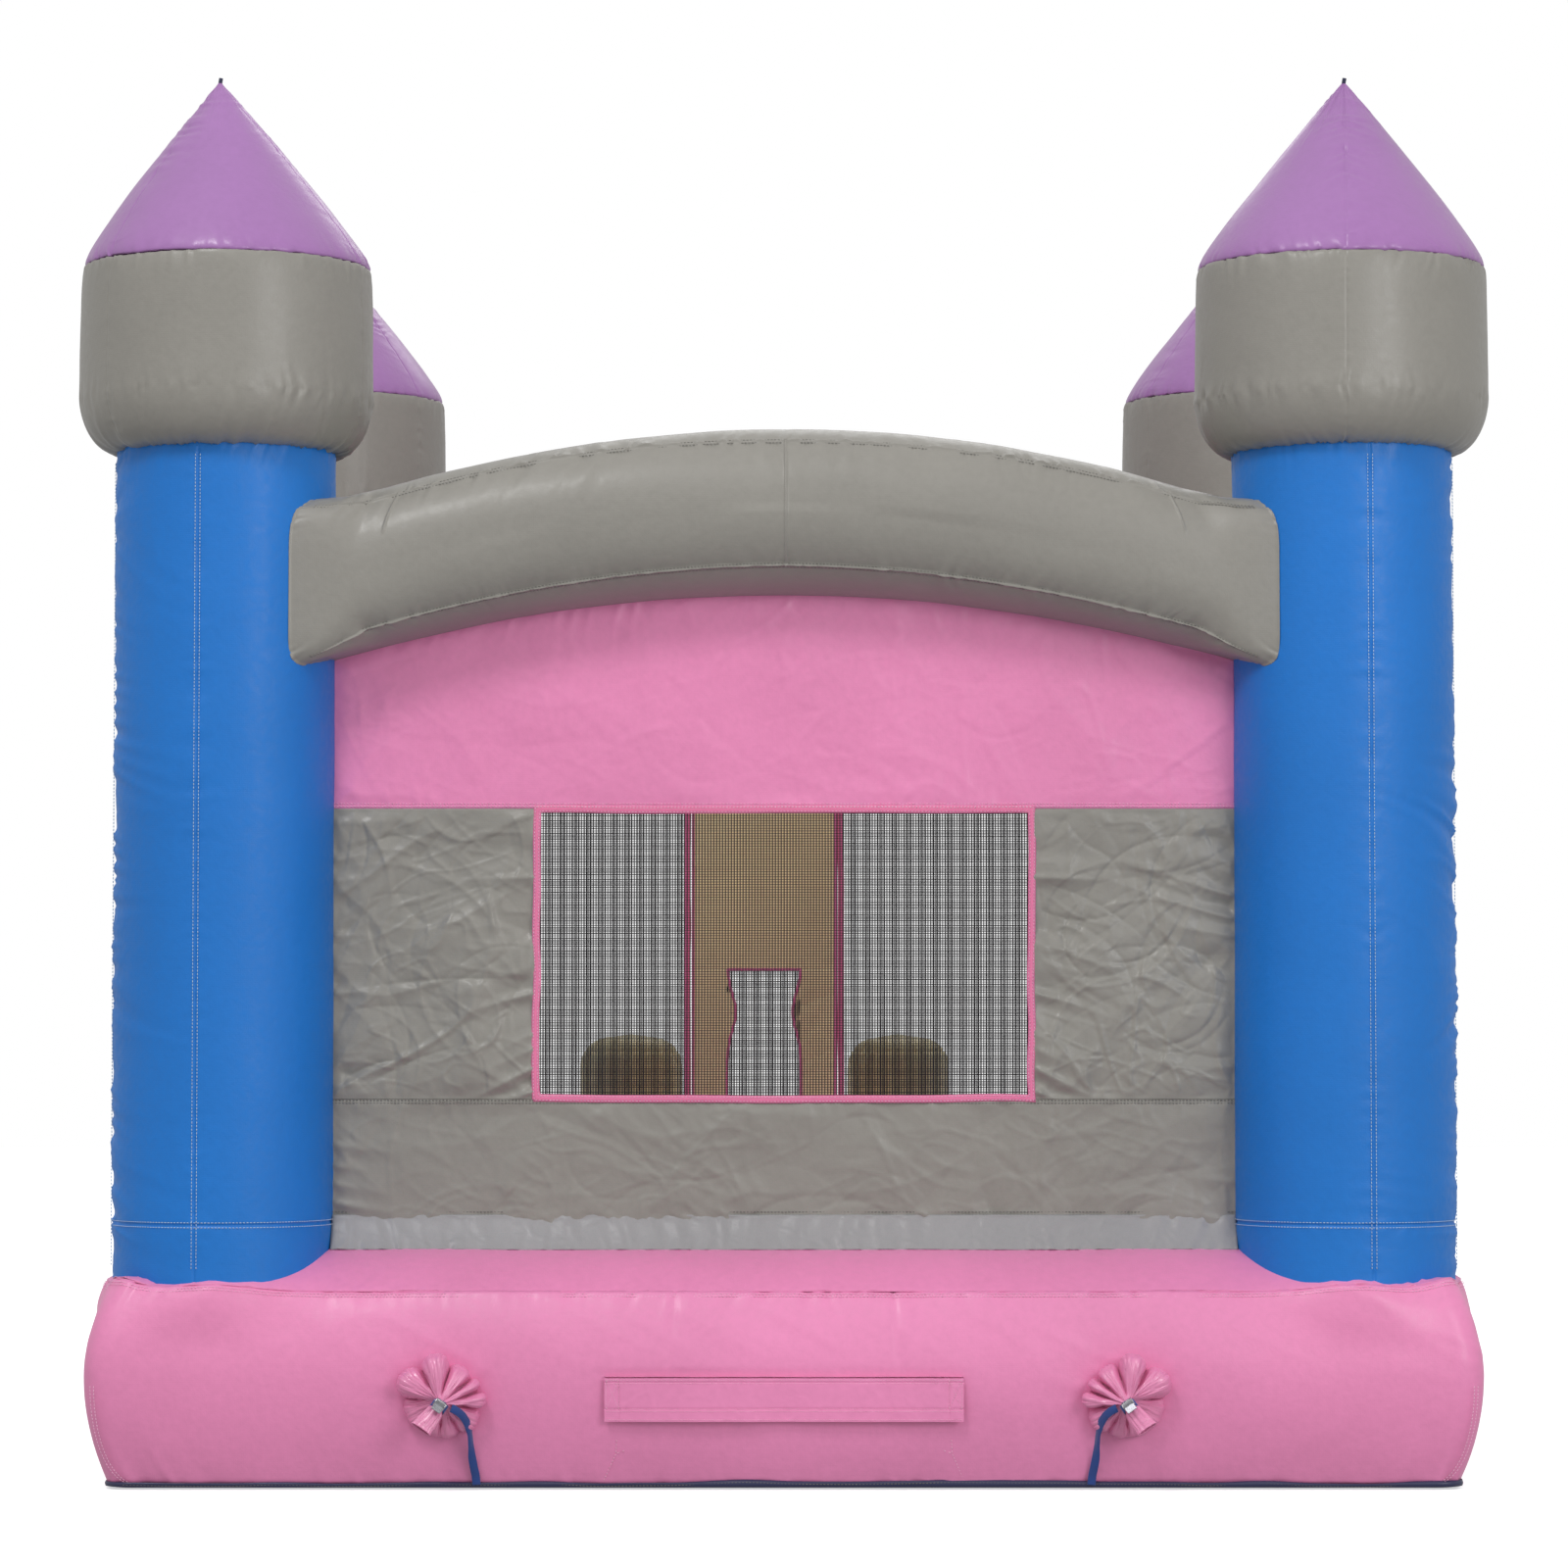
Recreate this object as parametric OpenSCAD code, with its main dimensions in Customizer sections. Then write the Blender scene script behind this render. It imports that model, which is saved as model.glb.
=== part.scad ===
// Castle bounce house: an inflated base with four corner towers, four arches between them,
// fabric walls with mesh windows, a hanging door flap, an entrance ramp and two tied-off air tubes.
// +Y is the entrance side, -Y the blower side, +Z up. The origin is the centre of the flat underside.

/* [Base] */
// Half width of the base at its widest, without the bottom sheet
base_half = 1980; // [1700:10:2300]
// Height of the seam between the side wall and the top sheet
base_h = 560; // [450:10:650]
// Height of the widest point of the side wall
bulge_z = 300; // [220:10:340]
// How far the side wall draws in at the floor
bulge_in_bottom = 70; // [30:5:120]
// How far the side wall draws in at the top seam
bulge_in_top = 80; // [30:5:120]
// Height that the jumping floor rises above the top seam
crown_h = 104; // [60:2:140]
// Half width of the raised jumping floor
crown_half = 1700; // [1660:5:1740]
// Height of the bottom sheet's turned-up rim
rim_h = 20; // [10:1:30]

/* [Towers] */
// Distance of each tower's axis from the middle, along X and along Y
tower_at = 1623; // [1600:1:1650]
// Radius of a tower's column
column_r = 317.5; // [290:0.5:320]
// Height of the neck between the column and the drum
neck_z = 2970; // [2850:10:3100]
// Radius of the drum
drum_r = 425; // [380:5:440]
// Height over which the drum swells from the neck
drum_swell = 140; // [80:10:200]
// Height of the seam between the drum and the cone
cone_z = 3510; // [3400:10:3600]
// Radius at that seam
cone_r = 415; // [370:5:430]
// Height of the cone's tip
tip_z = 4060; // [3900:10:4200]

/* [Arches] */
// Radius of an arch's tube
arch_r = 240; // [200:5:245]
// Radius of the arc that the tube's centre line follows
arch_sweep_r = 3700; // [3600:10:3900]
// Height of the tube's centre line in the middle of the arch
arch_top_z = 2800; // [2750:10:2850]

/* [Walls] */
// Half width of a window's mesh
window_half = 706; // [500:2:900]
// Height of the mesh's lower edge
window_z0 = 1110; // [1000:5:1200]
// Height of the mesh's upper edge
window_z1 = 1925; // [1800:5:2000]
// Width of the binding round a window
binding_w = 20; // [12:1:30]
// Height where the skirt leaves a wall
skirt_z = 760; // [700:5:800]

/* [Entrance] */
// Offset of the doorway from the middle
door_x = -70; // [-100:5:100]
// Width of the doorway
door_w = 520; // [460:10:560]
// Height of the doorway's head
door_head_z = 2110; // [2000:10:2150]
// Radius of the two posts beside the ramp
post_r = 185; // [150:5:190]
// Height of the posts
post_h = 1270; // [1000:10:1400]
// Distance of each post's axis from the doorway's middle
post_at = 484; // [482:1:520]
// How far the ramp reaches out from the base
ramp_l = 1000; // [700:10:1200]
// Height of the ramp where it meets the base
ramp_h = 440; // [350:5:500]

/* [Air tubes] */
// Distance of each tied tube from the middle
tube_x = 968; // [800:1:1100]
// Height of the tied tubes
tube_z = 250; // [220:1:290]
// Radius of the gathered fabric where a tube leaves the base
tube_r = 112; // [90:1:125]

/* [Zipper] */
// Half length of the deflation zipper's flap
flap_half = 506; // [400:2:560]
// Height of the flap's sewn top edge
flap_top = 318; // [300:1:330]
// Height of the flap from its sewn edge to its hem
flap_h = 122; // [100:1:140]

/* [Anchors] */
// Distance of each anchor tab from the middle, along Y
anchor_y = 1400; // [1000:10:1600]
// Height of an anchor ring's straight bar
anchor_z = 110; // [90:1:140]
// Radius of the round side of an anchor ring, at the middle of its rod
ring_r = 25; // [20:1:30]
// Radius of an anchor ring's rod
rod_r = 4; // [3:0.5:5]

/* [Hidden] */
SIDES = ["rear", "right", "front", "left"];
CORNERS = ["rear_left", "rear_right", "front_right", "front_left"];
HANDS = ["left", "right"];
PLAIN_SIDES = ["rear", "right", "left"];

$fn = 64;
skin = 4; // modelled thickness of every coated fabric skin
gap = 1; // clearance between neighbouring chambers
over = 10; // how far a cutting solid runs past what it cuts
arc_steps = 16; // straight facets in a swelling outline
big = 5000; // longer than anything here
pink = "hotpink";
blue = "steelblue";
grey = "darkgray";
yellow = "goldenrod";
purple = "orchid";
navy = "midnightblue";

floor_z = base_h + crown_h;
baffle_pitch = 530;
baffle_count = 7;
baffle_t = 3;
baffle_inset = 200; // between the end of a baffle and the base's widest point
rim_clear = 2; // between the side wall's foot and the bottom sheet's rim
drum_shoulder = 110; // height over which the drum's top draws in to the cone's seam
cone_belly = 22; // how far the cone's fabric swells past a straight cone
cone_belly_bias = 0.7; // below 1, the swelling sits nearer the cone's foot
cone_slant = 1.3; // a cone's skin measured level, as a multiple of its thickness
panel_t = 4;
panel_half = tower_at - column_r - gap;
mesh_t = 2;
binding_t = 6;
bound_half = window_half + binding_w;
bound_z0 = window_z0 - binding_w;
bound_z1 = window_z1 + binding_w;
skirt_out = 68; // how far a skirt's foot stands out from its top
skirt_half = panel_half - gap;
door_z1 = door_head_z + binding_w;
door_flap_gap = 10; // between the flap and each side of the doorway
door_flap_y = tower_at - 21; // the flap hangs just inside the wall
door_flap_lift = 60; // between the flap's hem and the floor
front_sill_z = 1030; // lower edge of the front wall's mesh binding
ramp_clear = 5; // between the base's widest point and what stands beside it
ramp_nose_h = 180;
ramp_brow = 0.45; // share of the ramp's length that stays nearly level
ramp_brow_h = 410;
post_round = 100; // radius of a post's rounded top edge

tie_at = [-968, -2066, 243]; // middle of the left tie band
tail_tilt = [-25, 35, 0]; // how the left tail leans from straight down
neck_r = 19;
neck_up = 32; // from the band up to the middle of the bunched fabric
neck_over = 2; // how far the straight neck reaches below the band
bunch_r = 27;
bell_l = 52;
bell_end_r = 40;
bell_gap = 2; // between the bell and the side wall's widest point
tail_l = 84;
tail_end_r = 30;
band_w = 25;
band_t = 1.5;
band_clear = 0.2; // between the band and the gathered fabric
buckle_clear = 0.6; // between the band and the buckle's frame
frame_half = 17;
frame_wall = 2;
cheek_over = 4; // how far a cheek reaches past the pin
cheek_h = 24;
pin_r = 1.5;
pin_run = 0.1; // running clearance of a buckle's pin
cam_r = 5;
cam_out = 11; // height of a cam's pin over its band
cam_side_gap = 0.5; // between the cam and each cheek
pin_over = 0.5; // how far the pin stands out of each cheek
lever_l = 26;
lever_t = 2.5;
strap_d = 12;
strap_sides = 8;
// Left tie strap from its band to the bottom edge, which the right one mirrors
STRAP_ROUTE = [
    [-932, -2066, 240], [-916, -2058, 231], [-901, -2044, 217], [-890, -2026, 196],
    [-884, -2006, 170], [-882, -1990, 144], [-881, -1976, 118], [-879, -1964, 92],
    [-875, -1952, 66], [-870, -1940, 40], [-868, -1934, 14]
];

tape_half = 480;
tape_h = 32;
tape_t = 1.5;
tape_y = base_half + 1;
hem_y = base_half + 2; // inner face of the strip that the flap is sewn along
hem_gap = 2; // between that strip and the flap's edge
strip_gap = 0.5; // from that strip's outer edge to the back of the hanging flap
slider = [14, 6, 24];
slider_gap = 0.5;
flap_t = 3;
flap_y = base_half + 12;
slider_start = tape_half - 25;

tab_w = 36;
tab_h = 90;
tab_t = 3;
tab_x = base_half + 2;
ring_x = base_half + 12;
loop_clear = 1;

// Half width of the side wall at height z
function side_u(z) = z < bulge_z
    ? base_half - bulge_in_bottom * pow((bulge_z - z) / bulge_z, 2)
    : base_half - bulge_in_top * pow((z - bulge_z) / (base_h - bulge_z), 2);

// Outline of the base across its width, drawn in by inset, from z0 to z1
function side_outline(inset, z0, z1) = concat(
    [for (i = [0 : arc_steps]) let (z = z0 + (z1 - z0) * i / arc_steps) [side_u(z) - inset, z]],
    [for (i = [arc_steps : -1 : 0]) let (z = z0 + (z1 - z0) * i / arc_steps) [inset - side_u(z), z]]
);

// A square cushion whose four sides follow the side wall's outline and meet in mitres
module cushion(inset, z0, z1) {
    outline = side_outline(inset, z0, z1);
    intersection() {
        rotate([90, 0, 0]) linear_extrude(big, center = true) polygon(outline);
        rotate([90, 0, 90]) linear_extrude(big, center = true) polygon(outline);
    }
}

// Puts a part made for the rear side on the named side
module on_side(side) {
    turn = search([side], SIDES)[0];
    rotate(90 * turn) children();
}

// Puts a part made at the origin on the named corner's tower axis
module at_corner(corner) {
    x = corner == "rear_left" || corner == "front_left" ? -1 : 1;
    y = corner == "rear_left" || corner == "rear_right" ? -1 : 1;
    translate([x * tower_at, y * tower_at, 0]) children();
}

// Keeps a part on the left, or mirrors it to the right
module on_hand(hand) {
    if (hand == "left") children();
    else mirror([1, 0, 0]) children();
}

module four_columns(r) {
    for (x = [-tower_at, tower_at], y = [-tower_at, tower_at])
        translate([x, y, base_h]) cylinder(h = big, r = r);
}

// ---- base ----

module bottom_sheet() {
    rim_in = side_u(rim_h) + rim_clear;
    color(navy) difference() {
        translate([-rim_in - skin, -rim_in - skin, 0])
            cube([2 * (rim_in + skin), 2 * (rim_in + skin), rim_h]);
        translate([-rim_in, -rim_in, skin]) cube([2 * rim_in, 2 * rim_in, rim_h]);
    }
}

module base_side_wall() {
    color(pink) difference() {
        cushion(0, skin, base_h - skin);
        cushion(skin, skin - 1, base_h - skin + 1);
    }
}

module jump_floor() {
    sheet_half = side_u(base_h - skin);
    inner_half = crown_half - skin;
    color(pink) difference() {
        union() {
            translate([-sheet_half, -sheet_half, base_h - skin]) cube([2 * sheet_half, 2 * sheet_half, skin]);
            difference() {
                translate([-crown_half, -crown_half, base_h - skin])
                    cube([2 * crown_half, 2 * crown_half, crown_h + skin]);
                four_columns(column_r + gap);
            }
        }
        difference() {
            translate([-inner_half, -inner_half, base_h - 2 * skin])
                cube([2 * inner_half, 2 * inner_half, crown_h + skin]);
            translate([0, 0, -over]) four_columns(column_r + gap + skin);
        }
    }
}

module floor_baffles() {
    rib = [baffle_t, 2 * (base_half - baffle_inset), base_h - 4 * skin];
    color("silver")
    for (i = [0 : baffle_count - 1])
        translate([(i - (baffle_count - 1) / 2) * baffle_pitch - baffle_t / 2, -rib[1] / 2, 2 * skin])
            cube(rib);
}

// ---- towers ----

module column() {
    color(blue) translate([0, 0, base_h]) difference() {
        cylinder(h = neck_z - base_h, r = column_r);
        translate([0, 0, -1]) cylinder(h = neck_z - base_h + 2, r = column_r - skin);
    }
}

// Quarter of an ellipse from [r0, z0] out and up to [r1, z1]
function swell(r0, z0, r1, z1) = [
    for (i = [0 : arc_steps]) let (a = 90 * i / arc_steps)
        [r0 + (r1 - r0) * sin(a), z0 + (z1 - z0) * (1 - cos(a))]
];

module drum() {
    top_swell = neck_z + drum_swell;
    shoulder_z = cone_z - drum_shoulder;
    outer = concat(swell(column_r, neck_z, drum_r, top_swell), [[drum_r, shoulder_z], [cone_r, cone_z]]);
    inner = concat(
        [[column_r - skin, neck_z]],
        swell(column_r - skin, neck_z + skin, drum_r - skin, top_swell),
        [[drum_r - skin, shoulder_z], [cone_r - skin, cone_z]]
    );
    color(grey) rotate_extrude() polygon(concat(outer, [for (i = [len(inner) - 1 : -1 : 0]) inner[i]]));
}

// Radius of the cone's fabric at the share s of its height: straight above, rounder near its foot
function cone_radius(s) = cone_r * (1 - s) + cone_belly * sin(180 * pow(s, cone_belly_bias));

module cone() {
    h = tip_z - cone_z;
    side = skin * cone_slant;
    inner_top = 0.95; // share of the height where the hollow ends
    outer = [for (i = [0 : arc_steps]) let (s = i / arc_steps) [max(cone_radius(s), 0), cone_z + h * s]];
    inner = [for (i = [arc_steps : -1 : 0]) let (s = inner_top * i / arc_steps)
        [max(cone_radius(s) - side, 0), cone_z + h * s]];
    color(purple) rotate_extrude() polygon(concat(outer, [[0, cone_z + h * inner_top]], inner));
}

// ---- arches ----

// A fabric tube that ends open on two columns, and on the mitre with the next arches
module arch() {
    reach = 26; // half angle of the tube's sweep, past the columns
    color(grey) difference() {
        intersection() {
            translate([0, -tower_at, arch_top_z - arch_sweep_r]) rotate([90, 0, 0]) rotate(90 - reach)
                rotate_extrude(angle = 2 * reach, $fn = 256) translate([arch_sweep_r, 0]) difference() {
                    circle(arch_r, $fn = 128);
                    circle(arch_r - skin, $fn = 128);
                }
            linear_extrude(big) polygon([[0, -gap], [-big / 2, -big / 2 - gap], [big / 2, -big / 2 - gap]]);
        }
        four_columns(column_r + gap);
    }
}

// ---- walls, each made for the rear side ----

module panel(x0, x1, z0, z1, t = panel_t) {
    translate([x0, -tower_at - t / 2, z0]) cube([x1 - x0, t, z1 - z0]);
}

// Top panel from z0 up to the underside of the arch
module top_panel(z0) {
    color(pink) intersection() {
        panel(-panel_half, panel_half, z0, arch_top_z);
        translate([0, 0, arch_top_z - arch_sweep_r]) rotate([90, 0, 0])
            cylinder(h = big, r = arch_sweep_r - arch_r - gap, center = true, $fn = 256);
    }
}

module side_panels() {
    color(grey) {
        panel(-panel_half, -bound_half, bound_z0, bound_z1);
        panel(bound_half, panel_half, bound_z0, bound_z1);
    }
}

module lower_panel() {
    color(grey) panel(-panel_half, panel_half, floor_z, bound_z0);
}

module mesh(x0, x1, z0, z1) {
    color("dimgray") panel(x0, x1, z0, z1, mesh_t);
}

// Binding round the mesh from x0 to x1 and z0 to z1
module binding(x0, x1, z0, z1) {
    color(pink) difference() {
        panel(x0 - binding_w, x1 + binding_w, z0 - binding_w, z1 + binding_w, binding_t);
        panel(x0, x1, z0, z1, binding_t + over);
    }
}

module skirt(x0, x1) {
    y = tower_at + panel_t;
    foot = floor_z + gap;
    outline = [[-y, skirt_z], [-y - skirt_out, foot], [-y - skirt_out - skin, foot], [-y - skin, skirt_z]];
    color("lightgray") translate([x0, 0, 0]) rotate([90, 0, 90]) linear_extrude(x1 - x0) polygon(outline);
}

// ---- entrance, seen from the front: X runs the other way there, so the doorway's middle is -door_x ----

FRONT_SPANS = [[-panel_half, -door_x - door_w / 2], [-door_x + door_w / 2, panel_half]];

module front_lower_panels() {
    color(grey) for (s = FRONT_SPANS) panel(s[0], s[1], floor_z, front_sill_z);
}

module front_window_meshes() {
    for (s = FRONT_SPANS)
        mesh(s[0] + binding_w, s[1] - binding_w, front_sill_z + binding_w, door_head_z);
}

module front_window_bindings() {
    for (s = FRONT_SPANS)
        binding(s[0] + binding_w, s[1] - binding_w, front_sill_z + binding_w, door_head_z);
}

module wall_skirts() {
    for (side = PLAIN_SIDES) on_side(side) skirt(-skirt_half, skirt_half);
    on_side("front") {
        skirt(-skirt_half, FRONT_SPANS[0][1]);
        skirt(FRONT_SPANS[1][0], skirt_half);
    }
}

module door_flap() {
    w = door_w - 2 * door_flap_gap;
    foot_z = floor_z + door_flap_lift;
    color(yellow) translate([door_x - w / 2, door_flap_y, foot_z]) cube([w, panel_t, door_head_z - foot_z]);
}

// Outline of the ramp from the base outwards, drawn in by inset
function ramp_outline(inset) = let (y0 = base_half + ramp_clear) [
    [y0 + inset, inset],
    [y0 + ramp_l - inset, inset],
    [y0 + ramp_l - inset, ramp_nose_h - inset],
    [y0 + ramp_l * ramp_brow, ramp_brow_h - inset],
    [y0 + inset, ramp_h - inset]
];

module ramp_solid(inset) {
    half = post_at - post_r - 2 * gap - inset;
    translate([door_x - half, 0, 0]) rotate([90, 0, 90])
        linear_extrude(2 * half) polygon(ramp_outline(inset));
}

module entrance_ramp() {
    color(yellow) difference() {
        ramp_solid(0);
        ramp_solid(skin);
    }
}

// Outline of a post from its foot to its rounded top, drawn in by inset
function post_outline(inset) = let (r = post_r - inset, h = post_h - inset, c = post_round) concat(
    [[0, inset], [r, inset]],
    [for (i = [0 : arc_steps]) let (a = 90 * i / arc_steps) [r - c + c * cos(a), h - c + c * sin(a)]],
    [[0, h]]
);

module ramp_post() {
    color(yellow) translate([door_x - post_at, base_half + ramp_clear + post_r, 0]) difference() {
        rotate_extrude() polygon(post_outline(0));
        rotate_extrude() polygon(post_outline(skin));
    }
}

// ---- air tubes, ties and buckles, each made on the left ----

// Frame of the tie: its Z runs back up the gathered neck and its -Y faces out
module at_tie() {
    translate(tie_at) rotate(tail_tilt) children();
}

module air_tube() {
    neck_z0 = -band_w / 2 - neck_over;
    color(pink) {
        translate([-tube_x, -base_half - bell_gap, tube_z]) rotate([90, 0, 0])
            cylinder(h = bell_l, r1 = tube_r, r2 = bell_end_r);
        at_tie() {
            translate([0, 0, neck_z0]) cylinder(h = neck_up - neck_z0, r = neck_r);
            translate([0, 0, -tail_l]) cylinder(h = tail_l + neck_z0, r1 = tail_end_r, r2 = neck_r);
            translate([0, 0, neck_up]) sphere(r = bunch_r);
        }
    }
}

module tie_bands() {
    color("royalblue") for (hand = HANDS) on_hand(hand) at_tie() difference() {
        cylinder(h = band_w, r = neck_r + band_clear + band_t, center = true);
        cylinder(h = band_w + over, r = neck_r + band_clear, center = true);
    }
}

// Frame of the buckle: -Y faces out, and the cam's pin lies along X
module at_buckle() {
    at_tie() translate([0, -neck_r - band_t - buckle_clear, 0]) children();
}

module buckle_frame() {
    cheek = [frame_wall, cam_out + cheek_over, cheek_h];
    difference() {
        union() {
            translate([-frame_half, -frame_wall, -cheek[2] / 2]) cube([2 * frame_half, frame_wall, cheek[2]]);
            for (x = [-frame_half, frame_half - frame_wall])
                translate([x, -cheek[1] - frame_wall, -cheek[2] / 2])
                    cube([cheek[0], cheek[1] + frame_wall, cheek[2]]);
        }
        translate([0, -cam_out, 0]) rotate([0, 90, 0])
            cylinder(h = 2 * frame_half + over, r = pin_r + pin_run, center = true);
    }
}

module buckle_frames() {
    color("silver") for (hand = HANDS) on_hand(hand) at_buckle() buckle_frame();
}

module buckle_cam() {
    inner = frame_half - frame_wall - cam_side_gap;
    color("dimgray") at_buckle() translate([0, -cam_out, 0]) {
        rotate([0, 90, 0]) cylinder(h = 2 * inner, r = cam_r, center = true);
        rotate([0, 90, 0]) cylinder(h = 2 * (frame_half + pin_over), r = pin_r, center = true);
        translate([-inner, -cam_r, -lever_l]) cube([2 * inner, lever_t, lever_l]);
    }
}

function unit(v) = v / norm(v);

// A closed tube of the given diameter along a route that has no stretch along X
module swept_tube(route, d, sides) {
    n = len(route);
    along = [for (i = [0 : n - 1]) unit(route[min(i + 1, n - 1)] - route[max(i - 1, 0)])];
    points = [
        for (i = [0 : n - 1])
            let (u = unit(cross(along[i], [1, 0, 0])), v = cross(along[i], u))
            for (k = [0 : sides - 1])
                route[i] + d / 2 * (cos(360 * k / sides) * u + sin(360 * k / sides) * v)
    ];
    walls = [
        for (i = [0 : n - 2], k = [0 : sides - 1])
            let (a = i * sides + k, b = i * sides + (k + 1) % sides)
            each [[a, a + sides, b], [b, a + sides, b + sides]]
    ];
    ends = [[for (k = [0 : sides - 1]) k], [for (k = [sides - 1 : -1 : 0]) (n - 1) * sides + k]];
    polyhedron(points, concat(walls, ends));
}

module tie_strap() {
    color("royalblue") swept_tube(STRAP_ROUTE, strap_d, strap_sides);
}

// ---- deflation zipper ----

module zipper_tape() {
    z = flap_top - flap_h / 2;
    color("black") translate([-tape_half, -tape_y - tape_t, z - tape_h / 2])
        cube([2 * tape_half, tape_t, tape_h]);
    color(pink) translate([-flap_half, strip_gap - flap_y, flap_top + hem_gap])
        cube([2 * flap_half, flap_y - strip_gap - hem_y, flap_t]);
}

module zipper_slider() {
    back = tape_y + tape_t + slider_gap;
    z = flap_top - flap_h / 2;
    color("silver") translate([slider_start - slider[0] / 2, -back - slider[1], z - slider[2] / 2])
        cube(slider);
}

module zipper_flap() {
    color(pink) translate([-flap_half, -flap_y - flap_t, flap_top - flap_h])
        cube([2 * flap_half, flap_t, flap_h]);
}

// ---- anchors, each made at the left end of the X axis ----

module at_anchor(corner) {
    x = corner == "rear_left" || corner == "front_left" ? 0 : 1;
    y = corner == "rear_left" || corner == "rear_right" ? -1 : 1;
    translate([0, y * anchor_y, 0]) mirror([x, 0, 0]) children();
}

module anchor_tab() {
    loop_in = rod_r + loop_clear;
    translate([-tab_x - tab_t, -tab_w / 2, anchor_z + loop_in]) cube([tab_t, tab_w, tab_h]);
    translate([-ring_x, 0, anchor_z]) rotate([90, 0, 0]) difference() {
        cylinder(h = tab_w, r = loop_in + tab_t, center = true);
        cylinder(h = tab_w + over, r = loop_in, center = true);
    }
}

module anchor_tabs() {
    color(navy) for (corner = CORNERS) at_anchor(corner) anchor_tab();
}

module anchor_ring() {
    color("silver") translate([-ring_x, 0, anchor_z]) {
        rotate([90, 0, 0]) cylinder(h = 2 * ring_r, r = rod_r, center = true);
        rotate([0, 90, 0]) rotate(-90) rotate_extrude(angle = 180) translate([ring_r, 0]) circle(rod_r);
        for (y = [-ring_r, ring_r]) translate([0, y, 0]) sphere(rod_r);
    }
}

// ---- the nodes ----

bottom_sheet();
base_side_wall();
jump_floor();
floor_baffles();
for (c = CORNERS) {
    at_corner(c) column();
    at_corner(c) drum();
    at_corner(c) cone();
    at_anchor(c) anchor_ring();
}
for (s = SIDES)
    on_side(s) arch();
for (s = PLAIN_SIDES) {
    on_side(s) top_panel(bound_z1);
    on_side(s) side_panels();
    on_side(s) lower_panel();
    on_side(s) mesh(-window_half, window_half, window_z0, window_z1);
    on_side(s) binding(-window_half, window_half, window_z0, window_z1);
}
on_side("front") top_panel(door_z1);  // top_panel_front
on_side("front") front_lower_panels();  // lower_panel_front
on_side("front") front_window_meshes();  // window_mesh_front
on_side("front") front_window_bindings();  // window_binding_front
wall_skirts();
door_flap();
entrance_ramp();
for (h = HANDS) {
    translate([h == "left" ? 0 : 2 * post_at, 0, 0]) ramp_post();
    on_hand(h) air_tube();
    on_hand(h) buckle_cam();
    on_hand(h) tie_strap();
}
tie_bands();
buckle_frames();
zipper_tape();
zipper_slider();
zipper_flap();
anchor_tabs();
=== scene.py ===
# Looks of the castle bounce house: inflated fabric chambers, creased walls, netting, webbing and metalwork,
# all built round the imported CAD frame. Metres, +Z up, -Y is the blower side that the camera sees.
import math

import bpy
import numpy as np
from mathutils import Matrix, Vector


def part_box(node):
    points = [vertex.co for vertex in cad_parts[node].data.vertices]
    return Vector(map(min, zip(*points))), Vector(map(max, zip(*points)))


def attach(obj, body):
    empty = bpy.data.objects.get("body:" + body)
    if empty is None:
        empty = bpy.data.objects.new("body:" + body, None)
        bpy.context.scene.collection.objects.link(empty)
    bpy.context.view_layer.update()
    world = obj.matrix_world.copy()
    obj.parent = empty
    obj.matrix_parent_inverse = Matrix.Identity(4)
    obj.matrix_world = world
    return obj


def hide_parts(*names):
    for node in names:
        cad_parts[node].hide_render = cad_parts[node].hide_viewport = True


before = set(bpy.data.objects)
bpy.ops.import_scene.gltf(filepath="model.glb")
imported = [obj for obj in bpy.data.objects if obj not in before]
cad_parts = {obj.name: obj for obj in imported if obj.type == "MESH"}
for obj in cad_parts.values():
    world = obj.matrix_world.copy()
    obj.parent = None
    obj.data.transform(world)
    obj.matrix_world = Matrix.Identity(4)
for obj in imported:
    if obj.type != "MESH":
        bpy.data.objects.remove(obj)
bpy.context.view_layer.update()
HOUSE = "house"
TAU = 2 * math.pi
CORNERS = ["rear_left", "rear_right", "front_right", "front_left"]
SIDES = ["rear", "right", "front", "left"]
HANDS = {"left": 1, "right": -1}


def box(node):
    low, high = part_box(node)
    return np.array(low), np.array(high)


# ---- sizes that come from the frame ----

WALL_LOW, WALL_HIGH = box("base_side_wall")
_, FLOOR_HIGH = box("jump_floor")
COLUMN_LOW, COLUMN_HIGH = box("column_rear_right")
DRUM_LOW, DRUM_HIGH = box("drum_rear_right")
CONE_LOW, CONE_HIGH = box("cone_rear_right")
ARCH_LOW, ARCH_HIGH = box("arch_rear")
TOP_LOW, TOP_HIGH = box("top_panel_rear")
MESH_LOW, MESH_HIGH = box("window_mesh_rear")
BOUND_LOW, BOUND_HIGH = box("window_binding_rear")
FLAP_LOW, FLAP_HIGH = box("zipper_flap")
DOOR_LOW, DOOR_HIGH = box("door_flap")
RAMP_LOW, RAMP_HIGH = box("entrance_ramp")

BASE_HALF = WALL_HIGH[0]
SEAM_Z = WALL_HIGH[2]
SEAM_HALF = FLOOR_HIGH[0]
CROWN_Z = FLOOR_HIGH[2]
TOWER_AT = (COLUMN_LOW[0] + COLUMN_HIGH[0]) / 2
COLUMN_R = (COLUMN_HIGH[0] - COLUMN_LOW[0]) / 2
NECK_Z = DRUM_LOW[2]
DRUM_R = (DRUM_HIGH[0] - DRUM_LOW[0]) / 2
CONE_Z = CONE_LOW[2]
CONE_R = (CONE_HIGH[0] - CONE_LOW[0]) / 2
TIP_Z = CONE_HIGH[2]
ARCH_R = (ARCH_HIGH[1] - ARCH_LOW[1]) / 2
ARCH_MID_Z = ARCH_HIGH[2] - ARCH_R
PANEL_HALF = TOP_HIGH[0]
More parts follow.
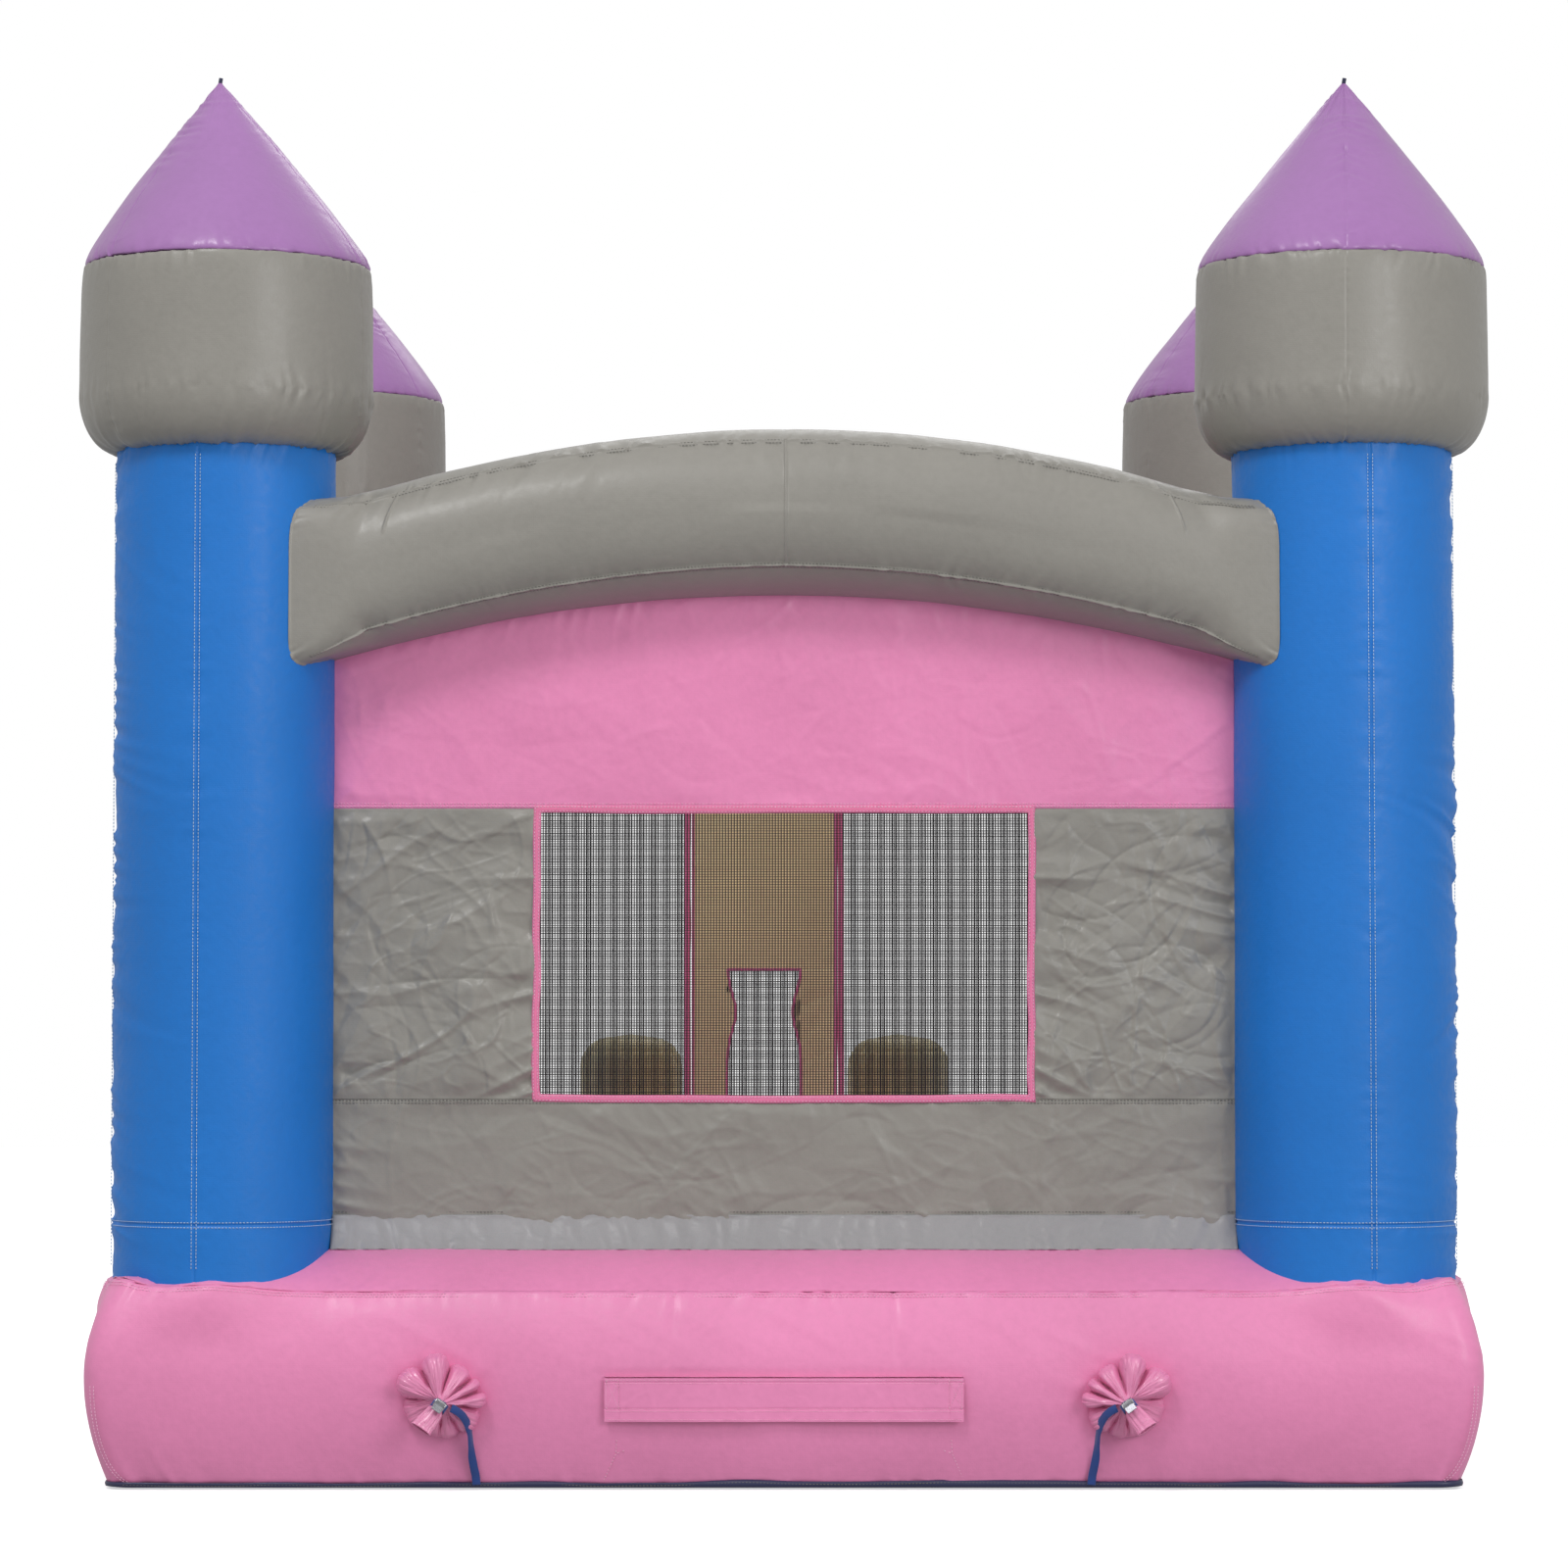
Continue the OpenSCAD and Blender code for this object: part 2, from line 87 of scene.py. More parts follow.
WALL_Y = (TOP_LOW[1] + TOP_HIGH[1]) / 2

# What the frame doesn't say, as the part's design has it
ARCH_SWEEP = 3.70  # radius of the arch's centre line
BULGE_Z = 0.30  # height of the base's widest point
BULGE_BOTTOM = 0.070  # how far its foot draws in
BULGE_TOP = 0.080  # how far its top seam draws in
SKIRT_Z = 0.760


# ---- numbers for wrinkles: smooth noise and fold shapes on numpy arrays ----

def lattice(i, j, seed):
    """A repeatable number from -1 to 1 for each whole-number place."""
    n = (i.astype(np.int64) * 374761393 + j.astype(np.int64) * 668265263 + seed * 974634777) & 0xFFFFFFFF
    n = ((n ^ (n >> 13)) * 1274126177) & 0xFFFFFFFF
    n = ((n ^ (n >> 16)) * 2246822519) & 0xFFFFFFFF
    return ((n ^ (n >> 15)) & 0xFFFFFFFF) / 2147483648.0 - 1.0


def noise(x, y=0.0, seed=0):
    """Smooth noise from -1 to 1."""
    x, y = np.broadcast_arrays(np.asarray(x, float), np.asarray(y, float))
    i, j = np.floor(x), np.floor(y)
    u, v = x - i, y - j
    u, v = u * u * (3 - 2 * u), v * v * (3 - 2 * v)
    a = lattice(i, j, seed) * (1 - u) + lattice(i + 1, j, seed) * u
    b = lattice(i, j + 1, seed) * (1 - u) + lattice(i + 1, j + 1, seed) * u
    return a * (1 - v) + b * v


def layered(x, y, seed, octaves=3):
    return sum(noise(x * 2**k, y * 2**k, seed + 11 * k) / 2**k for k in range(octaves))


def near(d, width):
    """1 on a line, falling to 0 with the distance d from it."""
    return np.exp(-((d / width) ** 2))


def ramp(x, a, b):
    """0 before a and 1 after b, with a smooth rise between."""
    t = np.clip((x - a) / (b - a), 0, 1)
    return t * t * (3 - 2 * t)


def clustered(a, b, count, places, width, boost=6.0):
    """Numbers from a to b that lie closer together near the given places."""
    t = np.linspace(a, b, 6000)
    density = 1 + boost * sum(near(t - p, width) for p in places)
    run = np.concatenate([[0], np.cumsum((density[1:] + density[:-1]) / 2)])
    return np.interp(np.linspace(0, run[-1], count), run, t)


def round_turn(count, places, width, boost=6.0):
    """Angles once round, closer together near the given ones."""
    wrapped = [p % TAU + k * TAU for p in places for k in (-1, 0, 1)]
    return clustered(0, TAU, count + 1, wrapped, width, boost)[:-1]


def puckers(s, d, seed, pitch, reach, height):
    """Gathers that run off a seam: s is the place along it and d the distance from it."""
    d = np.abs(d)
    lean = 0.5 * noise(s / (7 * pitch), 0.0, seed + 1)
    t = (s + lean * d) / pitch
    fold = 1 - 2.4 * np.abs(noise(t, d / (9 * pitch), seed))
    own_reach = reach * (0.62 + 0.38 * noise(t * 0.5, 3.0, seed + 2))
    strength = 0.7 + 0.5 * noise(s / (11 * pitch), 5.0, seed + 3)
    return height * fold * strength * np.exp(-((d / own_reach) ** 1.4))


def creases(x, z, seed, count, length, height, angles=(0, math.pi)):
    """Sharp, slightly bent fold lines scattered over a flat panel."""
    rng = np.random.default_rng(seed)
    x0, x1, z0, z1 = x.min(), x.max(), z.min(), z.max()
    h = np.zeros_like(x)
    for _ in range(count):
        cx, cz = rng.uniform(x0, x1), rng.uniform(z0, z1)
        a = rng.uniform(*angles)
        run = length * rng.uniform(0.35, 1.3)
        width = run * rng.uniform(0.025, 0.09)
        bend = rng.uniform(-0.6, 0.6) / run
        size = height * rng.uniform(0.3, 1.0) * rng.choice([-1, 1])
        u = (x - cx) * math.cos(a) + (z - cz) * math.sin(a)
        v = (z - cz) * math.cos(a) - (x - cx) * math.sin(a) + bend * u * u
        side = np.where(v > 0, width, width * rng.uniform(1.2, 3.0))
        h += size * np.exp(-((u / run) ** 2) - np.abs(v) / side)
    return h


def crumple(x, z, seed, size, height, slant=0.6, octaves=3):
    """Fine branching creases, as in fabric that has been packed away folded."""
    total = np.zeros_like(x)
    for k in range(octaves):
        a = slant + 1.1 * k
        p = (x * math.cos(a) + z * math.sin(a)) / (2.4 * size)
        q = (z * math.cos(a) - x * math.sin(a)) / size
        bend = 0.55 * noise(p * 0.9, q * 0.9, seed + 5 + k)
        n = noise(p + bend, q - bend, seed + 7 * k)
        ridge = np.maximum(1 - 3.4 * np.abs(n), 0) ** 1.4
        patch = ramp(noise(p * 0.55 + 3, q * 0.4, seed + 31 + k), -0.25, 0.35)
        total += height / 1.5**k * ridge * patch
        size *= 0.55
    return total


# ---- meshes ----

def mesh_object(name, points, faces, smooth=True):
    """An object from an array of points and an array of faces that all have the same number of corners."""
    points, faces = np.asarray(points, float), np.asarray(faces)
    mesh = bpy.data.meshes.new(name)
    mesh.vertices.add(len(points))
    mesh.vertices.foreach_set("co", points.ravel())
    mesh.loops.add(faces.size)
    mesh.loops.foreach_set("vertex_index", faces.ravel().astype(np.int32))
    mesh.polygons.add(len(faces))
    mesh.polygons.foreach_set("loop_start", np.arange(len(faces), dtype=np.int32) * faces.shape[1])
    mesh.update(calc_edges=True)
    mesh.validate()
    mesh.polygons.foreach_set("use_smooth", np.full(len(mesh.polygons), smooth))
    obj = bpy.data.objects.new(name, mesh)
    bpy.context.scene.collection.objects.link(obj)
    return obj


def grid_faces(nu, nv, close_u, close_v=False):
    """Quads over an nu by nv grid of points, wrapped round where it closes."""
    iu = np.arange(nu if close_u else nu - 1)
    iv = np.arange(nv if close_v else nv - 1)
    a, b = np.meshgrid(iu, iv, indexing="ij")
    a2, b2 = (a + 1) % nu, (b + 1) % nv
    return np.stack([a * nv + b, a2 * nv + b, a2 * nv + b2, a * nv + b2], -1).reshape(-1, 4)


def normals(grid, close_u, close_v=False):
    """Unit normals of a grid of points, from its neighbours."""
    def along(g, axis, closed):
        if closed:
            return np.roll(g, -1, axis) - np.roll(g, 1, axis)
        return np.gradient(g, axis=axis)
    n = np.cross(along(grid, 0, close_u), along(grid, 1, close_v))
    return n / np.maximum(np.linalg.norm(n, axis=-1, keepdims=True), 1e-12)


def surface(name, grid, height=None, close_u=False, close_v=False, caps=False):
    """An object over a grid of points, raised along its normals by height. caps closes both open ends."""
    if height is not None:
        grid = grid + normals(grid, close_u, close_v) * height[..., None]
    nu, nv = grid.shape[:2]
    points = grid.reshape(-1, 3)
    faces = grid_faces(nu, nv, close_u, close_v)
    if not caps:
        return mesh_object(name, points, faces)
    start, end = grid[:, 0].mean(0), grid[:, -1].mean(0)
    points = np.vstack([points, start, end])
    i = np.arange(nu)
    j = (i + 1) % nu
    a, b = len(points) - 2, len(points) - 1
    low = np.stack([np.full(nu, a), j * nv, i * nv, i * nv], -1)
    high = np.stack([np.full(nu, b), i * nv + nv - 1, j * nv + nv - 1, j * nv + nv - 1], -1)
    return mesh_object_mixed(name, points, faces, np.vstack([low, high])[:, :3])


def mesh_object_mixed(name, points, quads, triangles):
    mesh = bpy.data.meshes.new(name)
    mesh.vertices.add(len(points))
    mesh.vertices.foreach_set("co", np.asarray(points, float).ravel())
    loops = np.concatenate([quads.ravel(), triangles.ravel()]).astype(np.int32)
    starts = np.concatenate([np.arange(len(quads)) * 4, quads.size + np.arange(len(triangles)) * 3])
    mesh.loops.add(len(loops))
    mesh.loops.foreach_set("vertex_index", loops)
    mesh.polygons.add(len(starts))
    mesh.polygons.foreach_set("loop_start", starts.astype(np.int32))
    mesh.update(calc_edges=True)
    mesh.validate()
    mesh.polygons.foreach_set("use_smooth", np.ones(len(mesh.polygons), bool))
    obj = bpy.data.objects.new(name, mesh)
    bpy.context.scene.collection.objects.link(obj)
    return obj


def thicken(obj, thickness):
    """Gives a single sheet of fabric its thickness."""
    m = obj.modifiers.new("thickness", "SOLIDIFY")
    m.thickness = thickness
    m.offset = 0
    return obj


def finish_piece(obj, material, body=HOUSE, nodes=()):
    """Material, body, material slot and the CAD nodes that a piece stands for."""
    obj.data.materials.append(material)
    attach(obj, body)
    if nodes:
        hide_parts(*nodes)
    return obj


def turned(points, side):
    """Moves points made for the rear side to the named side."""
    a = SIDES.index(side) * math.pi / 2
    c, s = math.cos(a), math.sin(a)
    p = np.asarray(points, float)
    return np.stack([c * p[..., 0] - s * p[..., 1], s * p[..., 0] + c * p[..., 1], p[..., 2]], -1)


# ---- materials ----

def add(tree, kind, **values):
    node = tree.nodes.new(kind)
    for name, value in values.items():
        setattr(node, name, value)
    return node


def linear(colour):
    """A colour given as 0 to 255 numbers, in linear light."""
    return [((c / 255 + 0.055) / 1.055) ** 2.4 if c > 10 else c / 255 / 12.92 for c in colour] + [1.0]


def fabric(name, colour, rough=0.42, coat=0.25, mottle=0.05, weave=0.0009, grain=0.35, sheen=0.05):
    """Coated fabric: a woven bump, faint mottling, uneven gloss and a thin clear coat."""
    m = bpy.data.materials.new(name)
    m.use_nodes = True
    tree = m.node_tree
    link = tree.links.new
    shader = tree.nodes["Principled BSDF"]
    place = add(tree, "ShaderNodeTexCoord").outputs["Object"]

    broad = add(tree, "ShaderNodeTexNoise")
    broad.inputs["Scale"].default_value = 1.7
    broad.inputs["Detail"].default_value = 4
    fine = add(tree, "ShaderNodeTexNoise")
    fine.inputs["Scale"].default_value = 45
    fine.inputs["Detail"].default_value = 5
    for n in (broad, fine):
        link(place, n.inputs["Vector"])
    both = add(tree, "ShaderNodeMix", data_type="FLOAT")
    both.inputs["Factor"].default_value = 0.35
    link(broad.outputs["Fac"], both.inputs["A"])
    link(fine.outputs["Fac"], both.inputs["B"])
    tint = add(tree, "ShaderNodeValToRGB")
    base = linear(colour)
    dark = [c * (1 - mottle * 2) for c in base[:3]] + [1]
    light = [min(1, c * (1 + mottle)) for c in base[:3]] + [1]
    tint.color_ramp.elements[0].position = 0.3
    tint.color_ramp.elements[0].color = dark
    tint.color_ramp.elements[1].position = 0.7
    tint.color_ramp.elements[1].color = light
    link(both.outputs["Result"], tint.inputs["Fac"])
    link(tint.outputs["Color"], shader.inputs["Base Color"])

    gloss = add(tree, "ShaderNodeMapRange")
    gloss.inputs["From Min"].default_value = 0.3
    gloss.inputs["From Max"].default_value = 0.7
    gloss.inputs["To Min"].default_value = rough - 0.07
    gloss.inputs["To Max"].default_value = rough + 0.09
    link(fine.outputs["Fac"], gloss.inputs["Value"])
    link(gloss.outputs["Result"], shader.inputs["Roughness"])

    threads = []
    for direction in ("X", "Y", "Z"):
        w = add(tree, "ShaderNodeTexWave", wave_type="BANDS", bands_direction=direction, wave_profile="SIN")
        w.inputs["Scale"].default_value = 1 / (weave * 20)
        w.inputs["Distortion"].default_value = 0.0
        link(place, w.inputs["Vector"])
        threads.append(w)
    cross = add(tree, "ShaderNodeMath", operation="ADD")
    link(threads[0].outputs["Fac"], cross.inputs[0])
    link(threads[1].outputs["Fac"], cross.inputs[1])
    woven = add(tree, "ShaderNodeMath", operation="MULTIPLY")
    link(cross.outputs[0], woven.inputs[0])
    link(threads[2].outputs["Fac"], woven.inputs[1])

    skin = add(tree, "ShaderNodeTexNoise")
    skin.inputs["Scale"].default_value = 160
    skin.inputs["Detail"].default_value = 3
    link(place, skin.inputs["Vector"])
    bump_weave = add(tree, "ShaderNodeBump")
    bump_weave.inputs["Strength"].default_value = grain
    bump_weave.inputs["Distance"].default_value = 0.00015
    link(woven.outputs[0], bump_weave.inputs["Height"])
    bump_skin = add(tree, "ShaderNodeBump")
    bump_skin.inputs["Strength"].default_value = 0.35
    bump_skin.inputs["Distance"].default_value = 0.0006
    link(skin.outputs["Fac"], bump_skin.inputs["Height"])
    link(bump_weave.outputs["Normal"], bump_skin.inputs["Normal"])
    broad_bump = add(tree, "ShaderNodeBump")
    broad_bump.inputs["Strength"].default_value = 0.25
    broad_bump.inputs["Distance"].default_value = 0.004
    link(fine.outputs["Fac"], broad_bump.inputs["Height"])
    link(bump_skin.outputs["Normal"], broad_bump.inputs["Normal"])
    link(broad_bump.outputs["Normal"], shader.inputs["Normal"])

    shader.inputs["Coat Weight"].default_value = coat
    shader.inputs["Coat Roughness"].default_value = 0.22
    shader.inputs["Sheen Weight"].default_value = sheen
    return m


def webbing(name, colour):
    """Woven strap: ribs across it, matt, with a little sheen."""
    m = fabric(name, colour, rough=0.7, coat=0.0, mottle=0.12, weave=0.0011, grain=1.0, sheen=0.3)
    return m


def metal(name, colour, rough):
    """Plated metal with slight smudges that darken its colour and vary its gloss."""
    m = bpy.data.materials.new(name)
    m.use_nodes = True
    tree = m.node_tree
    link = tree.links.new
    shader = tree.nodes["Principled BSDF"]
    place = add(tree, "ShaderNodeTexCoord").outputs["Object"]
    shader.inputs["Metallic"].default_value = 1.0
    smudge = add(tree, "ShaderNodeTexNoise")
    smudge.inputs["Scale"].default_value = 90
    smudge.inputs["Detail"].default_value = 6
    link(place, smudge.inputs["Vector"])
    tint = add(tree, "ShaderNodeValToRGB")
    base = linear(colour)
    tint.color_ramp.elements[0].color = [c * 0.8 for c in base[:3]] + [1]
    tint.color_ramp.elements[1].color = base
    link(smudge.outputs["Fac"], tint.inputs["Fac"])
    link(tint.outputs["Color"], shader.inputs["Base Color"])
    gloss = add(tree, "ShaderNodeMapRange")
    gloss.inputs["To Min"].default_value = rough * 0.6
    gloss.inputs["To Max"].default_value = rough * 1.6
    link(smudge.outputs["Fac"], gloss.inputs["Value"])
    link(gloss.outputs["Result"], shader.inputs["Roughness"])
    return m


PINK = fabric("pink_vinyl", (236, 139, 187), rough=0.46, coat=0.16)
TUBE_PINK = fabric("glossy_pink_vinyl", (232, 138, 182), rough=0.32, coat=0.55)
BLUE = fabric("blue_vinyl", (0, 116, 205), rough=0.52, coat=0.06, sheen=0.0)
GREY = fabric("grey_vinyl", (143, 140, 133), rough=0.46, coat=0.12)
PALE = fabric("pale_grey_vinyl", (150, 149, 150), rough=0.5, coat=0.1)
PURPLE = fabric("purple_vinyl", (162, 112, 174), rough=0.42, coat=0.25)
YELLOW = fabric("yellow_vinyl", (252, 236, 180))
NAVY = fabric("navy_vinyl", (34, 38, 78), rough=0.5)
BINDING = fabric("pink_binding", (232, 122, 166), rough=0.5, coat=0.1, grain=0.8)
NETTING = fabric("black_netting", (16, 16, 17), rough=0.55, coat=0.0, sheen=0.0)
STRAP = webbing("blue_webbing", (28, 66, 140))
TAB = webbing("navy_webbing", (26, 30, 66))
THREAD = fabric("pale_thread", (226, 222, 224), rough=0.6, coat=0.0, grain=0.8, sheen=0.1)
PINK_THREAD = fabric("pink_thread", (244, 186, 214), rough=0.6, coat=0.0, grain=0.8, sheen=0.1)
GREY_THREAD = fabric("grey_thread", (112, 110, 106), rough=0.6, coat=0.0, grain=0.8)
BLUE_THREAD = fabric("blue_thread", (186, 208, 230), rough=0.6, coat=0.0, grain=0.8)
STEEL = metal("plated_steel", (205, 205, 208), 0.22)
CAM = metal("cam_metal", (150, 150, 156), 0.26)
ZIP_TAPE = webbing("zipper_tape", (22, 22, 24))


# ---- camera, floor and light ----

def look_and_light():
    scene = bpy.context.scene
    scene.view_settings.view_transform = "Standard"
    data = bpy.data.cameras.new("camera")
    camera = bpy.data.objects.new("camera", data)
    scene.collection.objects.link(camera)
    camera.location = (0, -16.61, 1.30)
    camera.rotation_euler = (math.radians(90 + 2.714), 0, 0)
    data.lens = 118.7
    data.clip_end = 200
    scene.camera = camera

    world = bpy.data.worlds.new("studio")
    scene.world = world
    world.use_nodes = True
    tree = world.node_tree
    sky = tree.nodes["Background"]
    up = add(tree, "ShaderNodeSeparateXYZ")
    tree.links.new(add(tree, "ShaderNodeTexCoord").outputs["Generated"], up.inputs[0])
    dome = add(tree, "ShaderNodeMapRange")
    dome.inputs["From Min"].default_value = -1
    dome.inputs["To Min"].default_value = 0.34
    dome.inputs["To Max"].default_value = 0.80
    tree.links.new(up.outputs["Z"], dome.inputs["Value"])
    tree.links.new(dome.outputs["Result"], sky.inputs["Strength"])
    sky.inputs["Color"].default_value = (1, 1, 1, 1)
    white = add(tree, "ShaderNodeBackground")
    white.inputs["Color"].default_value = (1, 1, 1, 1)
    seen = add(tree, "ShaderNodeLightPath")
    mix = add(tree, "ShaderNodeMixShader")
    tree.links.new(seen.outputs["Is Camera Ray"], mix.inputs["Fac"])
    tree.links.new(sky.outputs[0], mix.inputs[1])
    tree.links.new(white.outputs[0], mix.inputs[2])
    tree.links.new(mix.outputs[0], tree.nodes["World Output"].inputs["Surface"])

    def area(name, place, target, size, power):
        light = bpy.data.lights.new(name, "AREA")
        light.shape = "DISK"
        light.size = size
        light.energy = power
        obj = bpy.data.objects.new(name, light)
        scene.collection.objects.link(obj)
        obj.location = place
        obj.rotation_euler = (Vector(target) - Vector(place)).to_track_quat("-Z", "Y").to_euler()

    area("key_light", (-4.0, -9.5, 11.0), (0, 0, 2.0), 3.2, 470)
    area("fill_light", (6.5, -11.0, 5.0), (0, 0, 2.0), 5.0, 330)
    area("back_light", (1.0, 9.0, 10.0), (0, 0, 2.0), 6.0, 130)

    reach = 40.0
    floor = mesh_object("floor", [(-reach, -reach, 0), (reach, -reach, 0), (reach, reach, 0), (-reach, reach, 0)],
                        [[0, 1, 2, 3]])
    floor.location.z = -0.001
    m = bpy.data.materials.new("pale_floor")
    m.use_nodes = True
    m.node_tree.nodes["Principled BSDF"].inputs["Base Color"].default_value = (0.93, 0.93, 0.93, 1)
    m.node_tree.nodes["Principled BSDF"].inputs["Roughness"].default_value = 0.8
    m.node_tree.nodes["Principled BSDF"].inputs["Emission Color"].default_value = (1, 1, 1, 1)
    m.node_tree.nodes["Principled BSDF"].inputs["Emission Strength"].default_value = 0.55
    floor.data.materials.append(m)
    floor.visible_diffuse = False  # so that it doesn't light the house from below
    floor.visible_glossy = False


look_and_light()


# ---- stitching ----

STITCHES = {}  # (body, material name) -> list of stitch rows


def stitch_row(path, normal, material=None, body=HOUSE, pitch=0.010, length=0.0072, width=0.0024, lift=0.0006):
    """A row of thread stitches along a path on a surface whose outward direction is normal."""
    path = np.asarray(path, float)
    normal = np.broadcast_to(np.asarray(normal, float), path.shape)
    steps = np.linalg.norm(np.diff(path, axis=0), axis=1)
    run = np.concatenate([[0], np.cumsum(steps)])
    count = int(run[-1] / pitch)
    if count < 1:
        return
    where = (np.arange(count) + 0.5) * run[-1] / count

    def at(s, what):
        return np.stack([np.interp(s, run, what[:, k]) for k in range(3)], -1)

    a, b = at(where - length / 2, path), at(where + length / 2, path)
    n = at(where, normal)
    n /= np.linalg.norm(n, axis=1, keepdims=True)
    t = b - a
    t /= np.maximum(np.linalg.norm(t, axis=1, keepdims=True), 1e-9)
    side = np.cross(t, n)
    rings = []
    for share, size in ((0.0, 0.35), (0.25, 1.0), (0.75, 1.0), (1.0, 0.35)):
        middle = a + (b - a) * share + n * lift * size
        for x, z in ((-1, 0), (0, 1), (1, 0), (0, -1)):
            rings.append(middle + side * x * width / 2 * size + n * z * width / 2 * size)
    points = np.stack(rings, 1)
    STITCHES.setdefault((body, (material or THREAD).name), []).append(points)


def sew(name):
    """Turns the rows collected so far into one piece a thread colour."""
    local = []
    for k in range(3):
        for c in range(4):
            d = (c + 1) % 4
            local.append([4 * k + c, 4 * k + d, 4 * k + 4 + d, 4 * k + 4 + c])
    local += [[3, 2, 1, 0], [12, 13, 14, 15]]
    local = np.array(local)
    for (body, colour), rows in STITCHES.items():
        points = np.concatenate(rows)
        faces = (np.arange(len(points)) * 16)[:, None, None] + local
        obj = mesh_object(f"{name}_{colour}_{body}", points.reshape(-1, 3), faces.reshape(-1, 4))
        finish_piece(obj, bpy.data.materials[colour], body=body)
    STITCHES.clear()


def tube(name, path, radius, sides=8, closed=False, section=None, up=(0, 0, 1)):
    """A tube or flat tape along a path. section is a list of places in its cross-section."""
    path = np.asarray(path, float)
    if closed:
        tangent = np.roll(path, -1, 0) - np.roll(path, 1, 0)
    else:
        tangent = np.gradient(path, axis=0)
    tangent /= np.maximum(np.linalg.norm(tangent, axis=1, keepdims=True), 1e-9)
    up = np.broadcast_to(np.asarray(up, float), path.shape)
    u = np.cross(tangent, up)
    u /= np.maximum(np.linalg.norm(u, axis=1, keepdims=True), 1e-9)
    v = np.cross(u, tangent)
    if section is None:
        a = np.arange(sides) * TAU / sides
        section = np.stack([np.cos(a), np.sin(a)], -1) * radius
    section = np.asarray(section, float)
    grid = path[None] + section[:, None, :1] * u[None] + section[:, None, 1:] * v[None]
    if closed:
        return mesh_object(name, grid.reshape(-1, 3), grid_faces(len(section), len(path), True, True))
    return surface(name, grid, close_u=True, caps=True)


def flat_section(width, thick):
    """The rounded outline of a flat strap's cross-section: width first, then thickness."""
    w, t = width / 2, thick / 2
    return [(-w, 0), (-w * 0.94, -t), (0, -t), (w * 0.94, -t), (w, 0), (w * 0.94, t), (0, t), (-w * 0.94, t)]


# ---- base ----

def rim_path(count):
    """Points round a square with rounded corners, half width 1, with the distance along it."""
    r = 0.035
    flat = 1 - r
    side = 2 * flat
    arc = math.pi / 2 * r
    total = 4 * (side + arc)
    s = (np.arange(count) / count) * total
    k = np.floor(s / (side + arc)).astype(int)
    q = s - k * (side + arc)
    on_arc = q > side
    a = np.where(on_arc, (q - side) / r, 0.0)
    x = np.where(on_arc, flat + r * np.sin(a), np.minimum(q, side) - flat)
    y = np.where(on_arc, -flat - r * np.cos(a), -1.0)
    c, d = np.cos(k * math.pi / 2), np.sin(k * math.pi / 2)
    return np.stack([c * x - d * y, d * x + c * y], -1), s


def side_u(z):
    """Half width of the base's side wall at height z."""
    low = BASE_HALF - BULGE_BOTTOM * ((BULGE_Z - z) / BULGE_Z) ** 2
    high = BASE_HALF - BULGE_TOP * ((z - BULGE_Z) / (SEAM_Z + 0.004 - BULGE_Z)) ** 2
    return np.where(z < BULGE_Z, low, high)


def tower_side(x, y):
    """1 on the seam beside a tower's foot, falling to 0 along it."""
    along = np.minimum(np.abs(x), np.abs(y)) - TOWER_AT
    return near(along, 0.155) * ramp(np.maximum(np.abs(x), np.abs(y)), 1.6, 1.85)


def corner_lift(x, y):
    """How far the seam round the base's top stands up: over its corners, and round each tower's foot."""
    ear = np.exp(-((np.abs(x) - SEAM_HALF) ** 2 + (np.abs(y) - SEAM_HALF) ** 2) / 0.10**2)
    return 0.036 * ear + 0.022 * tower_side(x, y)


def seam_points(path):
    """The seam round the base's top, which passes outside each tower's foot."""
    x, y = path[:, 0] * SEAM_HALF, path[:, 1] * SEAM_HALF
    push = 0.050 * tower_side(x, y)
    k = 1 + push / SEAM_HALF
    z = SEAM_Z + 0.002 + corner_lift(x, y)
    wide = np.abs(x) > np.abs(y)
    return np.stack([np.where(wide, x * k, x), np.where(wide, y, y * k), z], -1)


def tube_places():
    for hand in HANDS:
        low, high = box(f"air_tube_{hand}")
        yield (low[0] + high[0]) / 2


TUBE_Z = 0.250


